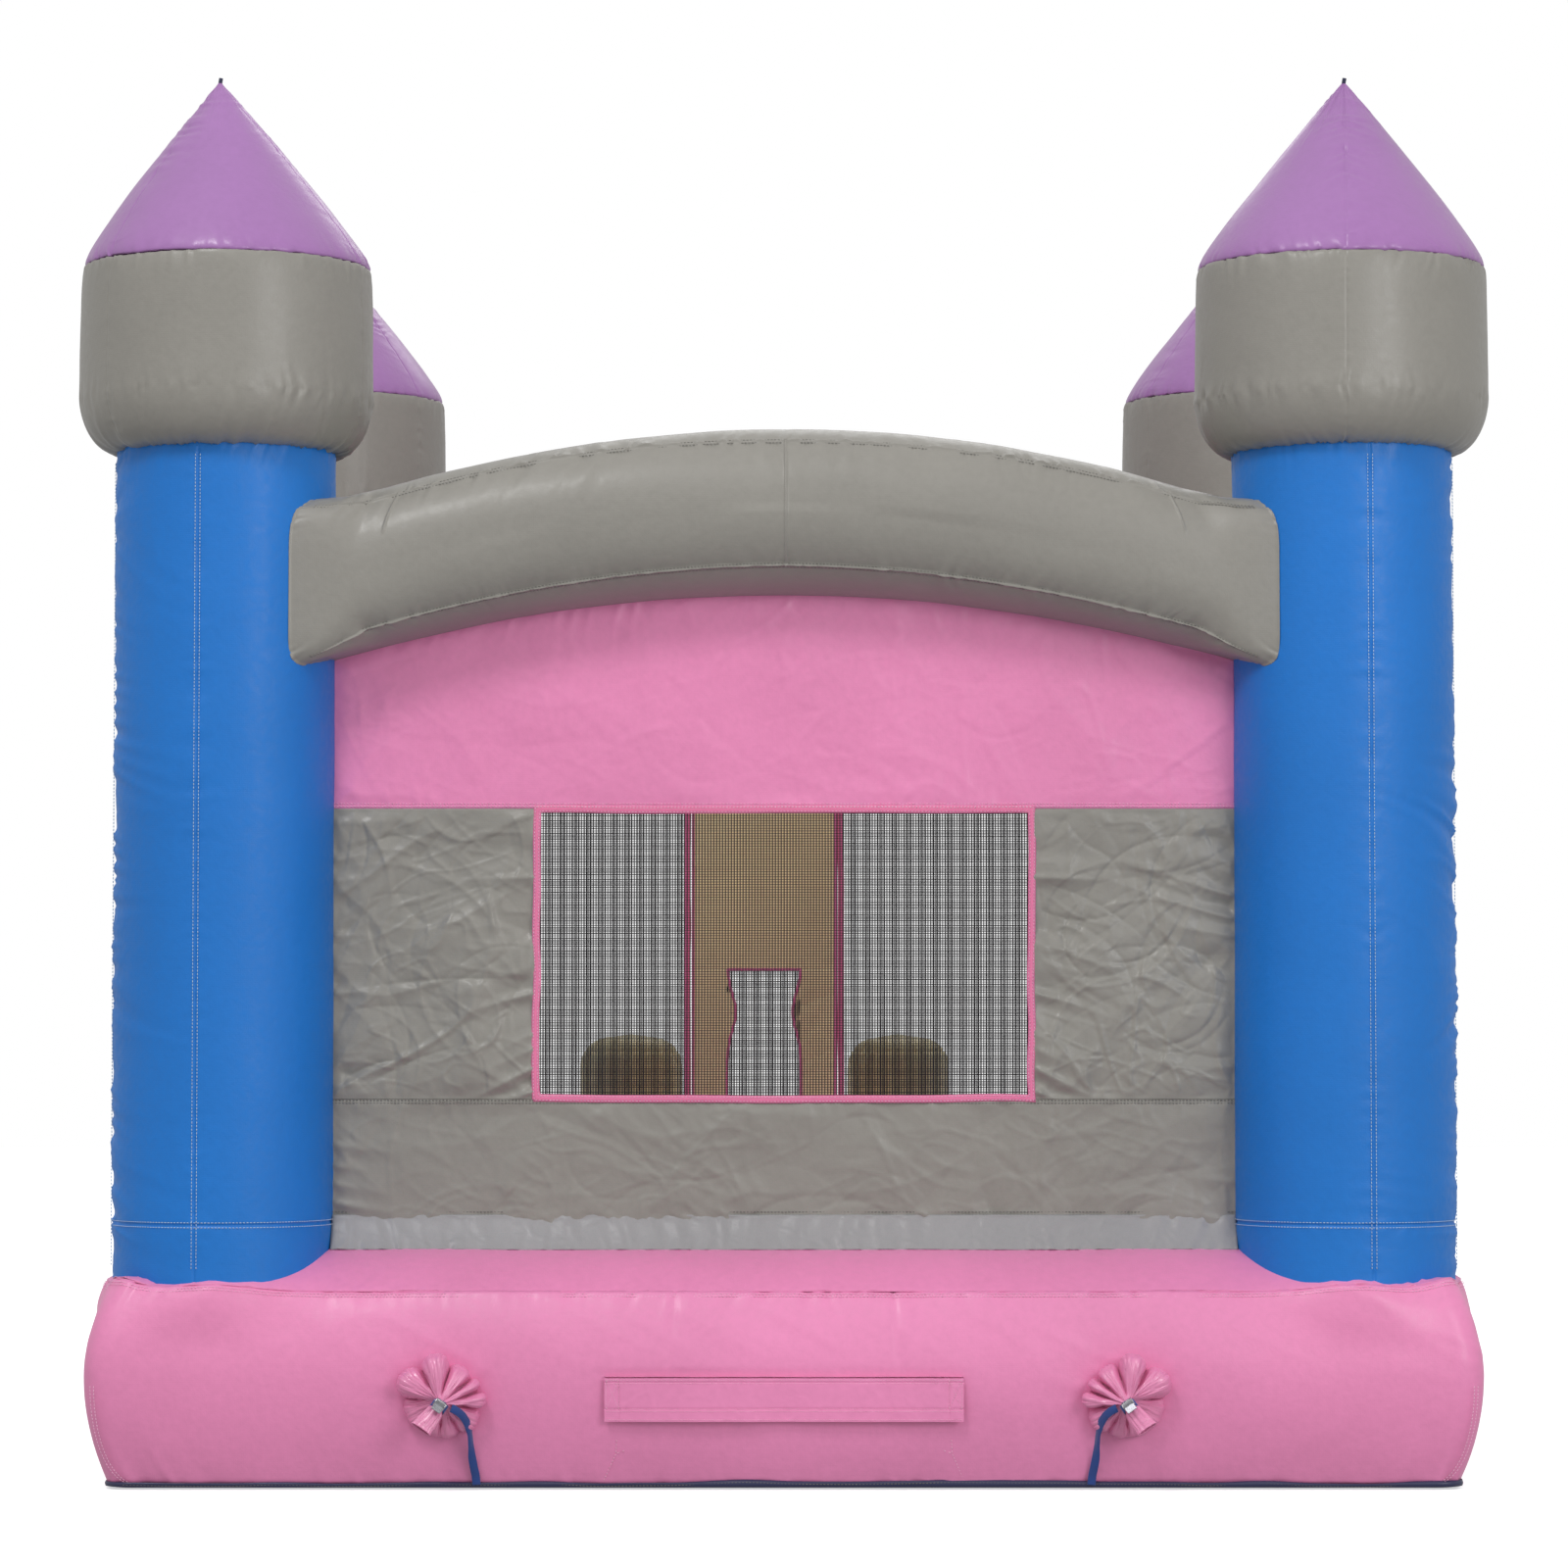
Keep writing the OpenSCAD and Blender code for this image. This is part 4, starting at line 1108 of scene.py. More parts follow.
def plain_wall(side, seed):
    out = PANEL_HALF + 0.006
    b = BOUND_HIGH[0] - 0.006
    z0, z1 = BOUND_LOW[2] + 0.006, BOUND_HIGH[2] - 0.006
    flat_panel(f"top_panel_sheet_{side}", side, -out, out, z1, None, seed, PINK,
               (f"top_panel_{side}",), 0.5, top=lambda x: arch_under(x) + 0.012)
    for k, (a, c) in enumerate(((-out, -b), (b, out))):
        flat_panel(f"side_panel_sheet_{side}_{k}", side, a, c, z0, z1, seed + 10 + k, GREY,
                   (f"side_panels_{side}",), 1.2, step=0.0045)
    flat_panel(f"lower_panel_sheet_{side}", side, -out, out, CROWN_Z - 0.004, z0, seed + 20, GREY,
               (f"lower_panel_{side}",), 0.8, step=0.006)
    netting(f"netting_{side}", side, MESH_LOW[0], MESH_HIGH[0], MESH_LOW[2], MESH_HIGH[2], (f"window_mesh_{side}",))
    binding(f"binding_{side}", side, MESH_LOW[0], MESH_HIGH[0], MESH_LOW[2], MESH_HIGH[2],
            (f"window_binding_{side}",), seed + 30)
    skirt(side, -out + 0.004, out - 0.004, seed + 40, 0)
    wall_rows(side, -out, out, z1 + 0.018, PINK_THREAD)
    wall_rows(side, -out, out, z0 + 0.002, GREY_THREAD)
    wall_rows(side, -out, out, SKIRT_Z + 0.016, GREY_THREAD)


def front_wall(seed):
    """The entrance wall, with a net on each side of the doorway. Made like the rear one, so X runs the other way."""
    side = "front"
    out = PANEL_HALF + 0.006
    low, high = box("window_binding_front")
    sill = box("lower_panel_front")[1][2]
    head = box("top_panel_front")[0][2]
    door_x = (DOOR_LOW[0] + DOOR_HIGH[0]) / 2
    door_half = (DOOR_HIGH[0] - DOOR_LOW[0]) / 2 + 0.010
    flat_panel("top_panel_sheet_front", side, -out, out, head - 0.006, None, seed, PINK,
               ("top_panel_front",), 0.5, top=lambda x: arch_under(x) + 0.012)
    w = 0.020
    for k, (a, b) in enumerate(((-out, -door_x - door_half), (-door_x + door_half, out))):
        flat_panel(f"lower_panel_sheet_front_{k}", side, a, b, CROWN_Z - 0.004, sill + 0.006, seed + 3 + k, GREY,
                   ("lower_panel_front",), 0.8, step=0.006)
        netting(f"netting_front_{k}", side, a + w, b - w, low[2] + w, high[2] - w, ("window_mesh_front",))
        binding(f"binding_front_{k}", side, a + w, b - w, low[2] + w, high[2] - w, ("window_binding_front",),
                seed + 8)
        skirt(side, a + 0.004, b - 0.004, seed + 12 + k, k)
        wall_rows(side, a, b, SKIRT_Z + 0.016, GREY_THREAD)
    wall_rows(side, -out, out, head + 0.014, PINK_THREAD)


# ---- entrance ----

def door_flap():
    """The yellow flap that hangs in the doorway: bound in pink, with a slit net in its lower half."""
    x0, x1 = DOOR_LOW[0], DOOR_HIGH[0]
    z0, z1 = DOOR_LOW[2], DOOR_HIGH[2]
    y = (DOOR_LOW[1] + DOOR_HIGH[1]) / 2
    middle = (x0 + x1) / 2
    net_top, net_half = 1.51, 0.130

    def net_edge(z):
        """Half width of the netted opening at height z."""
        return net_half - 0.030 * near(z - (net_top - 0.15), 0.09)

    def hang(x, z):
        fall = ramp(z, z1, z1 - 0.5)
        return y + fall * (0.010 * noise(x / 0.16, z / 1.4, 205) + 0.006 * noise(x / 0.06, z / 0.8, 206))

    def cloth(name, left, right, low, high, nx, nz, seed):
        u, v = np.meshgrid(np.linspace(0, 1, nx), np.linspace(0, 1, nz), indexing="ij")
        z = low + (high - low) * v
        a, b = left(z), right(z)
        x = a + (b - a) * u
        h = crumple(x, z, seed, 0.08, 0.0030) + creases(x, z, seed + 1, 26, 0.12, 0.0025)
        grid = np.stack([x, hang(x, z) + h * 0.8, z], -1)
        piece = thicken(surface(name, grid), 0.002)
        finish_piece(piece, YELLOW, body="door_flap", nodes=("door_flap",))

    cloth("door_flap_top", lambda z: x0 + 0 * z, lambda z: x1 + 0 * z, net_top, z1, 84, 100, 210)
    cloth("door_flap_left", lambda z: x0 + 0 * z, lambda z: middle - net_edge(z), z0, net_top, 24, 130, 220)
    cloth("door_flap_right", lambda z: middle + net_edge(z), lambda z: x1 + 0 * z, z0, net_top, 24, 130, 230)

    rods, faces = [], []
    pitch = 0.0085
    for i in range(int(2 * net_half / pitch) + 1):
        x = middle - net_half + i * pitch
        z = np.linspace(z0, net_top, 60)
        inside = np.abs(x - middle) < net_edge(z) + 0.004
        if inside.sum() > 4:
            rods.append(np.stack([x + 0 * z, hang(x, z), z], -1)[inside])
    for z in np.arange(z0 + 0.004, net_top, 0.0074):
        half = float(net_edge(np.array(z))) + 0.004
        x = np.linspace(middle - half, middle + half, 12)
        rods.append(np.stack([x, hang(x, z + 0 * x), z + 0 * x], -1))
    points = []
    made = 0
    for path in rods:
        upright = abs(path[0][0] - path[-1][0]) < 1e-6
        w = 0.0016 if upright else 0.0010
        for p, q in ((-1, 0), (0, -1), (1, 0), (0, 1)):
            points.append(path + [p * w if upright else 0, q * 0.0008, 0 if upright else p * w])
        n = len(path)
        j, c = np.meshgrid(np.arange(n - 1), np.arange(4), indexing="ij")
        faces.append((made + np.stack([c * n + j, c * n + j + 1, (c + 1) % 4 * n + j + 1, (c + 1) % 4 * n + j],
                                      -1)).reshape(-1, 4))
        made += 4 * n
    net = mesh_object("door_flap_net", np.vstack(points), np.vstack(faces), smooth=False)
    finish_piece(net, NETTING, body="door_flap")

    def edge_tape(name, xs, zs):
        path = np.stack([xs, hang(xs, zs), zs], -1)
        tape = tube(name, path, 0, section=flat_section(0.010, 0.006), up=(0, -1, 0))
        finish_piece(tape, BINDING, body="door_flap")

    z = np.linspace(z0, z1, 90)
    edge_tape("door_flap_edge_left", x0 + 0 * z, z)
    edge_tape("door_flap_edge_right", x1 + 0 * z, z)
    z = np.linspace(z0, net_top, 70)
    edge_tape("door_flap_net_edge_left", middle - net_edge(z), z)
    edge_tape("door_flap_net_edge_right", middle + net_edge(z), z)
    x = np.linspace(middle - net_half, middle + net_half, 20)
    edge_tape("door_flap_net_edge_top", x, net_top + 0 * x)
    x = np.linspace(x0, x1, 30)
    edge_tape("door_flap_head", x, z1 - 0.004 + 0 * x)


def post(hand, seed):
    """A round cushioned post beside the ramp."""
    low, high = box(f"ramp_post_{hand}")
    cx, cy = (low[0] + high[0]) / 2, (low[1] + high[1]) / 2
    r0, top = (high[0] - low[0]) / 2, high[2]
    c = 0.11
    run = clustered(0, 1, 230, [0.0, 0.86], 0.03, 3)
    length = top - c + c * math.pi / 2 + (r0 - c)
    theta, s = np.meshgrid(round_turn(240, (0.6, 3.7), 0.05), run * length, indexing="ij")
    bend = np.clip((s - (top - c)) / c, 0, math.pi / 2)
    flat = np.maximum(s - (top - c) - c * math.pi / 2, 0)
    r = r0 - c + c * np.cos(bend) - flat
    z = np.minimum(s, top - c) + c * np.sin(bend) + 0.012 * (flat / (r0 - c))
    r = np.maximum(r - 0.025 * near(z, 0.05), 0.001)
    grid = np.stack([cx + r * np.cos(theta), cy + r * np.sin(theta), np.maximum(z, 0.0056)], -1)
    room = np.clip(r / 0.12, 0, 1)
    arc = theta * r0
    h = 0.0030 * layered(arc / 0.25, z / 0.3, seed, 3) * room
    for k, at in enumerate((0.6, 3.7)):
        d = angle_from(theta, at) * r
        h += (puckers(s, d, seed + 2 + k, 0.03, 0.08, 0.0040) - 0.0045 * near(d, 0.005)) * room
    cap = s - (top - c * 0.4)
    h += (puckers(arc, cap, seed + 5, 0.026, 0.07, 0.0048) - 0.004 * near(cap, 0.005)) * room
    h += puckers(arc, s, seed + 6, 0.03, 0.08, 0.0040) * ramp(z, 0.0, 0.02)
    body = surface(f"post_skin_{hand}", grid, h, close_u=True, caps=True)
    finish_piece(body, YELLOW, nodes=(f"ramp_post_{hand}",))


def ramp_cushion(seed):
    """The inflated ramp: its side outline swept across, drawn in to rounded cheeks."""
    y0, y1 = RAMP_LOW[1], RAMP_HIGH[1]
    x0, x1 = RAMP_LOW[0], RAMP_HIGH[0]
    top = RAMP_HIGH[2]
    outline = np.array([[y0, 0.002], [y1, 0.002], [y1, 0.180], [y0 + 0.45 * (y1 - y0), 0.410], [y0, top]])
    for k in range(4):
        share = 0.18 if k == 0 else 0.25
        a, b = outline, np.roll(outline, -1, 0)
        outline = np.stack([a + share * (b - a), b - share * (b - a)], 1).reshape(-1, 2)
    closed = np.vstack([outline, outline[:1]])
    run = np.concatenate([[0], np.cumsum(np.linalg.norm(np.diff(closed, axis=0), axis=1))])
    n = 300
    s = np.arange(n) / n * run[-1]
    ring = np.stack([np.interp(s, run, closed[:, k]) for k in range(2)], -1)
    w = clustered(-1, 1, 190, [-1, 1, 0], 0.05, 8)
    draw = np.maximum(1 - np.abs(w) ** 16, 0) ** (1 / 5)
    heart = np.array([(y0 + y1) / 2 - 0.1, 0.16])
    mid, half = (x0 + x1) / 2, (x1 - x0) / 2
    ring3 = heart + (ring[:, None] - heart) * draw[None, :, None]
    x = mid + half * w[None] + 0 * ring3[..., 0]
    grid = np.stack([x, ring3[..., 0], ring3[..., 1]], -1)
    ss = s[:, None] + 0 * x
    side_d = (1 - np.abs(w))[None] * half + 0 * x
    h = 0.004 * layered(ss / 0.3, x / 0.3, seed, 3)
    h += puckers(ss, side_d - 0.03, seed + 1, 0.032, 0.09, 0.0060)
    channel = np.abs((x - mid) / half)
    h -= 0.018 * near(channel - 0.34, 0.035) * ramp(ring3[..., 1], 0.05, 0.15)
    h += puckers(ss, (channel - 0.34) * half, seed + 3, 0.028, 0.05, 0.0040) * ramp(ring3[..., 1], 0.05, 0.15)
    h *= ramp(ring3[..., 1], 0.004, 0.03) * draw[None] ** 2
    body = surface("ramp_skin", grid[::-1], h[::-1], close_u=True)
    finish_piece(body, YELLOW, nodes=("entrance_ramp",))


# ---- tied air tubes ----

TIE_AT = np.array([-0.968, -2.066, 0.243])
TILT = (math.radians(-25), math.radians(35))


def tie_axes():
    """The tie's own directions at the left tube: across, towards the house, and back up the gathered neck."""
    cx, sx = math.cos(TILT[0]), math.sin(TILT[0])
    cy, sy = math.cos(TILT[1]), math.sin(TILT[1])
    about_x = np.array([[1, 0, 0], [0, cx, -sx], [0, sx, cx]])
    about_y = np.array([[cy, 0, sy], [0, 1, 0], [-sy, 0, cy]])
    return (about_y @ about_x).T


ACROSS, INWARD, UPWARD = tie_axes()

# The fan of pleats between the base and the tie: where each pleat starts, in degrees anticlockwise from the right,
# how far it reaches from the tube's middle and how far it stands out of the base
PLEATS = [(-185, 0.088, 0.036), (-130, 0.076, 0.028), (-85, 0.088, 0.034), (-57, 0.110, 0.046), (-5, 0.126, 0.060),
          (18, 0.118, 0.066), (40, 0.112, 0.062), (77, 0.138, 0.088), (121, 0.134, 0.066), (175, 0.088, 0.036)]


def on_hand(points, hand):
    return points * np.array([HANDS[hand], 1, 1])


def air_tube(hand, seed):
    """The gathered tube: pleats fanned round the tie, the tied neck and the loose tail with its hem."""
    n = 720
    theta = np.radians(-185) + np.arange(n) * TAU / n
    degrees = np.degrees(theta)
    starts = np.array([p[0] for p in PLEATS], float)
    which = np.clip(np.searchsorted(starts, degrees, side="right") - 1, 0, len(PLEATS) - 2)
    t = (degrees - starts[which]) / (starts[which + 1] - starts[which])
    swell = np.maximum(1 - np.abs(2 * t - 1) ** 3.0, 0) ** 0.7
    reach = np.array([p[1] for p in PLEATS])[which]
    stand = np.array([p[2] for p in PLEATS])[which]
    reach = (0.076 + (reach - 0.076) * swell)[:, None]
    stand = (stand * (0.50 + 0.50 * swell))[:, None]
    s = np.linspace(0, 1, 130)[None]
    control_r = [0.100 + 0 * reach, reach + 0.022, reach + 0.020, 0.80 * reach, 0.42 * reach, 0.10 + 0 * reach]
    control_d = [-0.012 + 0 * reach, 0.006 + 0 * reach, stand * 1.25, stand * 1.45, stand * 1.05, 0.060 + 0 * reach]
    r, d = 0, 0
    for k in range(6):
        weight = math.comb(5, k) * s**k * (1 - s) ** (5 - k)
        r = r + weight * control_r[k]
        d = d + weight * control_d[k]
    th = theta[:, None] + 0.10 * np.sin(math.pi * s) * noise(theta[:, None] * 2.2, 0.0, seed)
    tube_x, tube_z = -0.968, TUBE_Z
    flower = np.stack([tube_x + r * np.cos(th), -(BASE_HALF - 0.010) - d, tube_z + r * np.sin(th)], -1)

    start = np.array([0, -1.0, 0])
    turn_axis = np.cross(start, -UPWARD)
    sin_a = np.linalg.norm(turn_axis)
    turn_axis /= sin_a
    cos_a = start @ -UPWARD
    v = np.stack([np.cos(theta), 0 * theta, np.sin(theta)], -1)
    v = v * cos_a + np.cross(turn_axis, v) * sin_a + turn_axis * (v @ turn_axis)[:, None] * (1 - cos_a)
    e1, e2 = v @ ACROSS, v @ -INWARD

    def ring(along, wide, deep, folds):
        """One ring of the neck or tail: along is the distance from the tie back up its axis."""
        f = 1 + folds
        middle = TIE_AT + UPWARD * along
        return middle + (wide * f * e1)[:, None] * ACROSS - (deep * f * e2)[:, None] * INWARD

    gather = 0.10 * np.sin(13 * theta + 2 * np.sin(3 * theta)) + 0.06 * noise(theta * 5, 0.0, seed + 1)
    neck = ring(0.016, 0.0195, 0.0195, gather)
    w = ramp(s, 0.42, 1.0)[..., None] ** 1.15
    flower = flower * (1 - w) + neck[:, None] * w
    rings = [flower]
    for k, along in enumerate(np.linspace(0.012, -0.012, 6)):
        rings.append(ring(along, 0.0185, 0.0185, gather * 0.6)[:, None])
    for share in np.linspace(0, 1, 34)[1:]:
        along = -0.012 - 0.072 * share
        open_up = share**0.6
        wide = 0.0185 + 0.0105 * open_up
        deep = 0.0185 - 0.0065 * open_up
        wrinkle = gather * (1 - 0.75 * share) + 0.06 * open_up * noise(theta * 2.2, share * 5, seed + 3)
        sway = ACROSS * -0.004 * share**2
        rings.append((ring(along, wide, deep, wrinkle) + sway)[:, None])
    grid = np.concatenate(rings, 1)
    flare = (near(s - 0.45, 0.35) * 0.0022 * (1 - 2.2 * np.abs(noise(th * 9, s * 2.5, seed + 5))))
    h = np.zeros(grid.shape[:2])
    h[:, :130] = flare + 0.0016 * near(s - 0.7, 0.3) * (1 - 2.2 * np.abs(noise(th * 17, s * 4, seed + 6)))
    if hand == "right":
        grid = on_hand(grid, hand)[::-1]
        h = h[::-1]
    skin = thicken(surface(f"air_tube_skin_{hand}", grid, -h, close_u=True), 0.0016)
    finish_piece(skin, TUBE_PINK, nodes=(f"air_tube_{hand}",))
    for back in (6, 10):
        edge = grid[:, -back]
        out = edge - edge.mean(0)
        edge = edge + 0.0016 * out / np.linalg.norm(out, axis=1, keepdims=True)
        stitch_row(edge, out, PINK_THREAD, pitch=0.006, length=0.004, width=0.0011)


def tie_band(hand):
    """Webbing wound round the neck."""
    a = np.arange(72) * TAU / 72
    rings = []
    for along, out in ((-0.0125, 0), (-0.0120, 1), (-0.004, 1), (0.004, 1), (0.0120, 1), (0.0125, 0), (0.0120, -1),
                       (-0.0120, -1)):
        r = 0.0212 + out * 0.0008 + 0.0009 * np.sin(3 * a + 1) + 0.0006 * np.sin(7 * a)
        skew = 0.0035 * np.sin(a + 0.6)
        rings.append(TIE_AT + (r * np.cos(a))[:, None] * ACROSS - (r * np.sin(a))[:, None] * INWARD
                     + (along + skew)[:, None] * UPWARD)
    grid = on_hand(np.stack(rings, 0), hand)
    faces = grid_faces(8, 72, True, True)
    obj = mesh_object(f"tie_band_{hand}", grid.reshape(-1, 3), faces if hand == "left" else faces[:, ::-1])
    finish_piece(obj, STRAP, nodes=("tie_bands",))


def plate(name, outline, thickness, origin, x_axis, y_axis, bevel, material, body, nodes=()):
    """A flat outline made into a bevelled plate, centred on its own plane."""
    outline = np.asarray(outline, float)
    x_axis, y_axis = np.asarray(x_axis, float), np.asarray(y_axis, float)
    normal = np.cross(x_axis, y_axis)
    flat = np.asarray(origin) + outline[:, :1] * x_axis + outline[:, 1:] * y_axis
    n = len(outline)
    points = np.vstack([flat - normal * thickness / 2, flat + normal * thickness / 2])
    mesh = bpy.data.meshes.new(name)
    sides = [[i, (i + 1) % n, n + (i + 1) % n, n + i] for i in range(n)]
    mesh.from_pydata(points.tolist(), [], [list(range(n))[::-1], list(range(n, 2 * n)), *sides])
    obj = bpy.data.objects.new(name, mesh)
    bpy.context.scene.collection.objects.link(obj)
    m = obj.modifiers.new("bevel", "BEVEL")
    m.width = bevel
    m.segments = 2
    m.limit_method = "ANGLE"
    return finish_piece(obj, material, body=body, nodes=nodes)


def rounded(w, h, r, steps=5):
    """Outline of a rectangle with rounded corners."""
    out = []
    for k, (sx, sy) in enumerate(((1, 1), (-1, 1), (-1, -1), (1, -1))):
        for i in range(steps + 1):
            a = math.pi / 2 * (k + i / steps)
            out.append((sx * (w / 2 - r) + r * math.cos(a), sy * (h / 2 - r) + r * math.sin(a)))
    return out


def buckle(hand):
    """A cam buckle: a channel of bent plate with two cheeks, and a knurled cam with a thumb lever on its pin."""
    flip = HANDS[hand]
    side = np.array([flip, 1, 1])
    out, across, up = -INWARD * side, ACROSS * side, UPWARD * side
    face = (TIE_AT - INWARD * 0.0211) * side
    plate(f"buckle_plate_{hand}", rounded(0.034, 0.024, 0.003), 0.0018, face + out * 0.0011, across, up, 0.0004,
          STEEL, HOUSE, ("buckle_frames",))
    cheek = [(-0.012, 0), (0.012, 0), (0.012, 0.006), (0.0085, 0.0125), (0.0035, 0.0155), (-0.0035, 0.0155),
             (-0.0085, 0.0125), (-0.012, 0.006)]
    for k, x in enumerate((-0.016, 0.016)):
        plate(f"buckle_cheek_{hand}_{k}", cheek, 0.0018, face + out * 0.0006 + across * x, up, out, 0.0004, STEEL,
              HOUSE)
    bar = tube(f"buckle_bar_{hand}", [face + out * 0.0022 + up * 0.0115 + across * x for x in (-0.0165, 0, 0.0165)],
               0.0014, 10, up=tuple(out))
    finish_piece(bar, STEEL)
    body = f"buckle_cam_{hand}"
    pin = face + out * 0.011
    a = np.linspace(math.radians(-60), math.radians(200), 27)
    r = np.where(np.arange(27) % 2 == 0, 0.0050, 0.0042)
    knurl = list(zip(r * np.cos(a), r * np.sin(a)))
    profile = [(-x, -y) for x, y in knurl[::-1]]
    shape = [(z, o) for z, o in profile if z > -0.0030] + [(-0.0035, -0.0030), (-0.0085, -0.0005)]
    shape += [(-0.0265, 0.0022), (-0.0275, 0.0034), (-0.0262, 0.0042), (-0.0080, 0.0030), (-0.0035, 0.0042)]
    plate(f"cam_lever_{hand}", shape, 0.0285, pin, up, out, 0.0003, CAM, body, (body,))
    shaft = tube(f"cam_pin_{hand}", [pin + across * x for x in (-0.0185, 0, 0.0185)], 0.0016, 12, up=tuple(out))
    finish_piece(shaft, STEEL, body=body)


def tie_strap(hand):
    """The strap's free end: flat webbing that leaves the buckle, turns edge-on and hangs over the bottom sheet."""
    route = np.array([[-0.932, -2.066, 0.240], [-0.916, -2.058, 0.231], [-0.901, -2.044, 0.217],
                      [-0.890, -2.026, 0.196], [-0.884, -2.006, 0.170], [-0.882, -1.990, 0.144],
                      [-0.881, -1.976, 0.118], [-0.879, -1.964, 0.092], [-0.875, -1.952, 0.066],
                      [-0.870, -1.940, 0.040], [-0.868, -1.934, 0.014]])
    steps = np.linalg.norm(np.diff(route, axis=0), axis=1)
    run = np.concatenate([[0], np.cumsum(steps)])
    s = np.linspace(0, run[-1], 90)
    path = np.stack([np.interp(s, run, route[:, k]) for k in range(3)], -1)
    for _ in range(6):
        path[1:-1] = (path[:-2] + 2 * path[1:-1] + path[2:]) / 4
    share = s / s[-1]
    tangent = np.gradient(path, axis=0)
    tangent /= np.linalg.norm(tangent, axis=1, keepdims=True)
    lay = np.array([[0.55, 0.35, 0.75], [0.62, 0.45, 0.62], [0.75, 0.62, 0.25], [0.45, 0.88, 0.05], [0.55, 0.83, 0.0],
                    [0.90, 0.40, 0.0], [1.0, 0.05, 0.0]])
    at = np.array([0, 0.10, 0.25, 0.42, 0.56, 0.72, 1.0])
    across = np.stack([np.interp(share, at, lay[:, k]) for k in range(3)], -1)
    across -= (across * tangent).sum(1, keepdims=True) * tangent
    across /= np.linalg.norm(across, axis=1, keepdims=True)
    normal = np.cross(tangent, across)
    rings = []
    for a, b in flat_section(0.0235, 0.0017):
        rings.append(path + across * a + normal * (b + 0.0006 * np.sin(abs(a) * 300) * np.sin(share * 40)[:, None]))
    grid = on_hand(np.stack(rings, 0), hand)
    if hand == "right":
        grid = grid[::-1]
    obj = surface(f"tie_strap_webbing_{hand}", grid, close_u=True, caps=True)
    finish_piece(obj, STRAP, nodes=(f"tie_strap_{hand}",))


# ---- deflation zipper ----

def zipper_flap(seed):
    """The flap over the zipper: sewn along its top edge, with boxed and crossed stitching at both ends."""
    x0, x1 = FLAP_LOW[0], FLAP_HIGH[0]
    z0, z1 = FLAP_LOW[2], FLAP_HIGH[2]
    y0 = (FLAP_LOW[1] + FLAP_HIGH[1]) / 2
    end, hem = 0.041, 0.036
    xs = clustered(x0, x1, 300, [x0, x1, x0 + end, x1 - end], 0.006, 6)
    zs = clustered(z0, z1, 46, [z0, z1, z0 + hem, z1 - 0.012], 0.004, 5)
    x, z = np.meshgrid(xs, zs, indexing="ij")

    def lift(x, z):
        loose = ramp(z, z1, z0)
        return 0.004 * loose * noise(x / 0.16, z / 0.3, seed) + 0.0022 * loose * noise(x / 0.05, 0 * x, seed + 1)

    h = lift(x, z) + crumple(x, z, seed + 2, 0.05, 0.0012)
    for line in (x0 + end, x1 - end):
        h -= 0.0014 * near(x - line, 0.003)
    h -= 0.0014 * near(z - z0 - hem, 0.003) + 0.0014 * near(z - z1 + 0.012, 0.003)
    h += puckers(x, z1 - z, seed + 3, 0.022, 0.02, 0.0010)
    piece = thicken(surface("zipper_flap_cover", np.stack([x, y0 - h, z], -1)), 0.0022)
    finish_piece(piece, PINK, body="zipper_flap", nodes=("zipper_flap",))

    def sew_line(points):
        points = np.array([np.linspace(a, b, 40) for a, b in zip(points[:-1], points[1:])]).reshape(-1, 2)
        path = np.stack([points[:, 0], y0 - lift(points[:, 0], points[:, 1]) - 0.0016, points[:, 1]], -1)
        stitch_row(path, (0, -1, 0), PINK_THREAD, body="zipper_flap", pitch=0.008, length=0.0055, width=0.0014)

    for z in (z1 - 0.006, z1 - 0.014, z0 + hem, z0 + hem - 0.007, z0 + 0.006):
        sew_line([(x0 + 0.004, z), (x1 - 0.004, z)])
    for a, b in ((x0 + 0.005, x0 + end), (x1 - end, x1 - 0.005)):
        top, bottom = z1 - 0.005, z0 + hem
        sew_line([(a, bottom), (a, top), (b, top), (b, bottom), (a, top)])
        sew_line([(a, bottom), (b, top)])


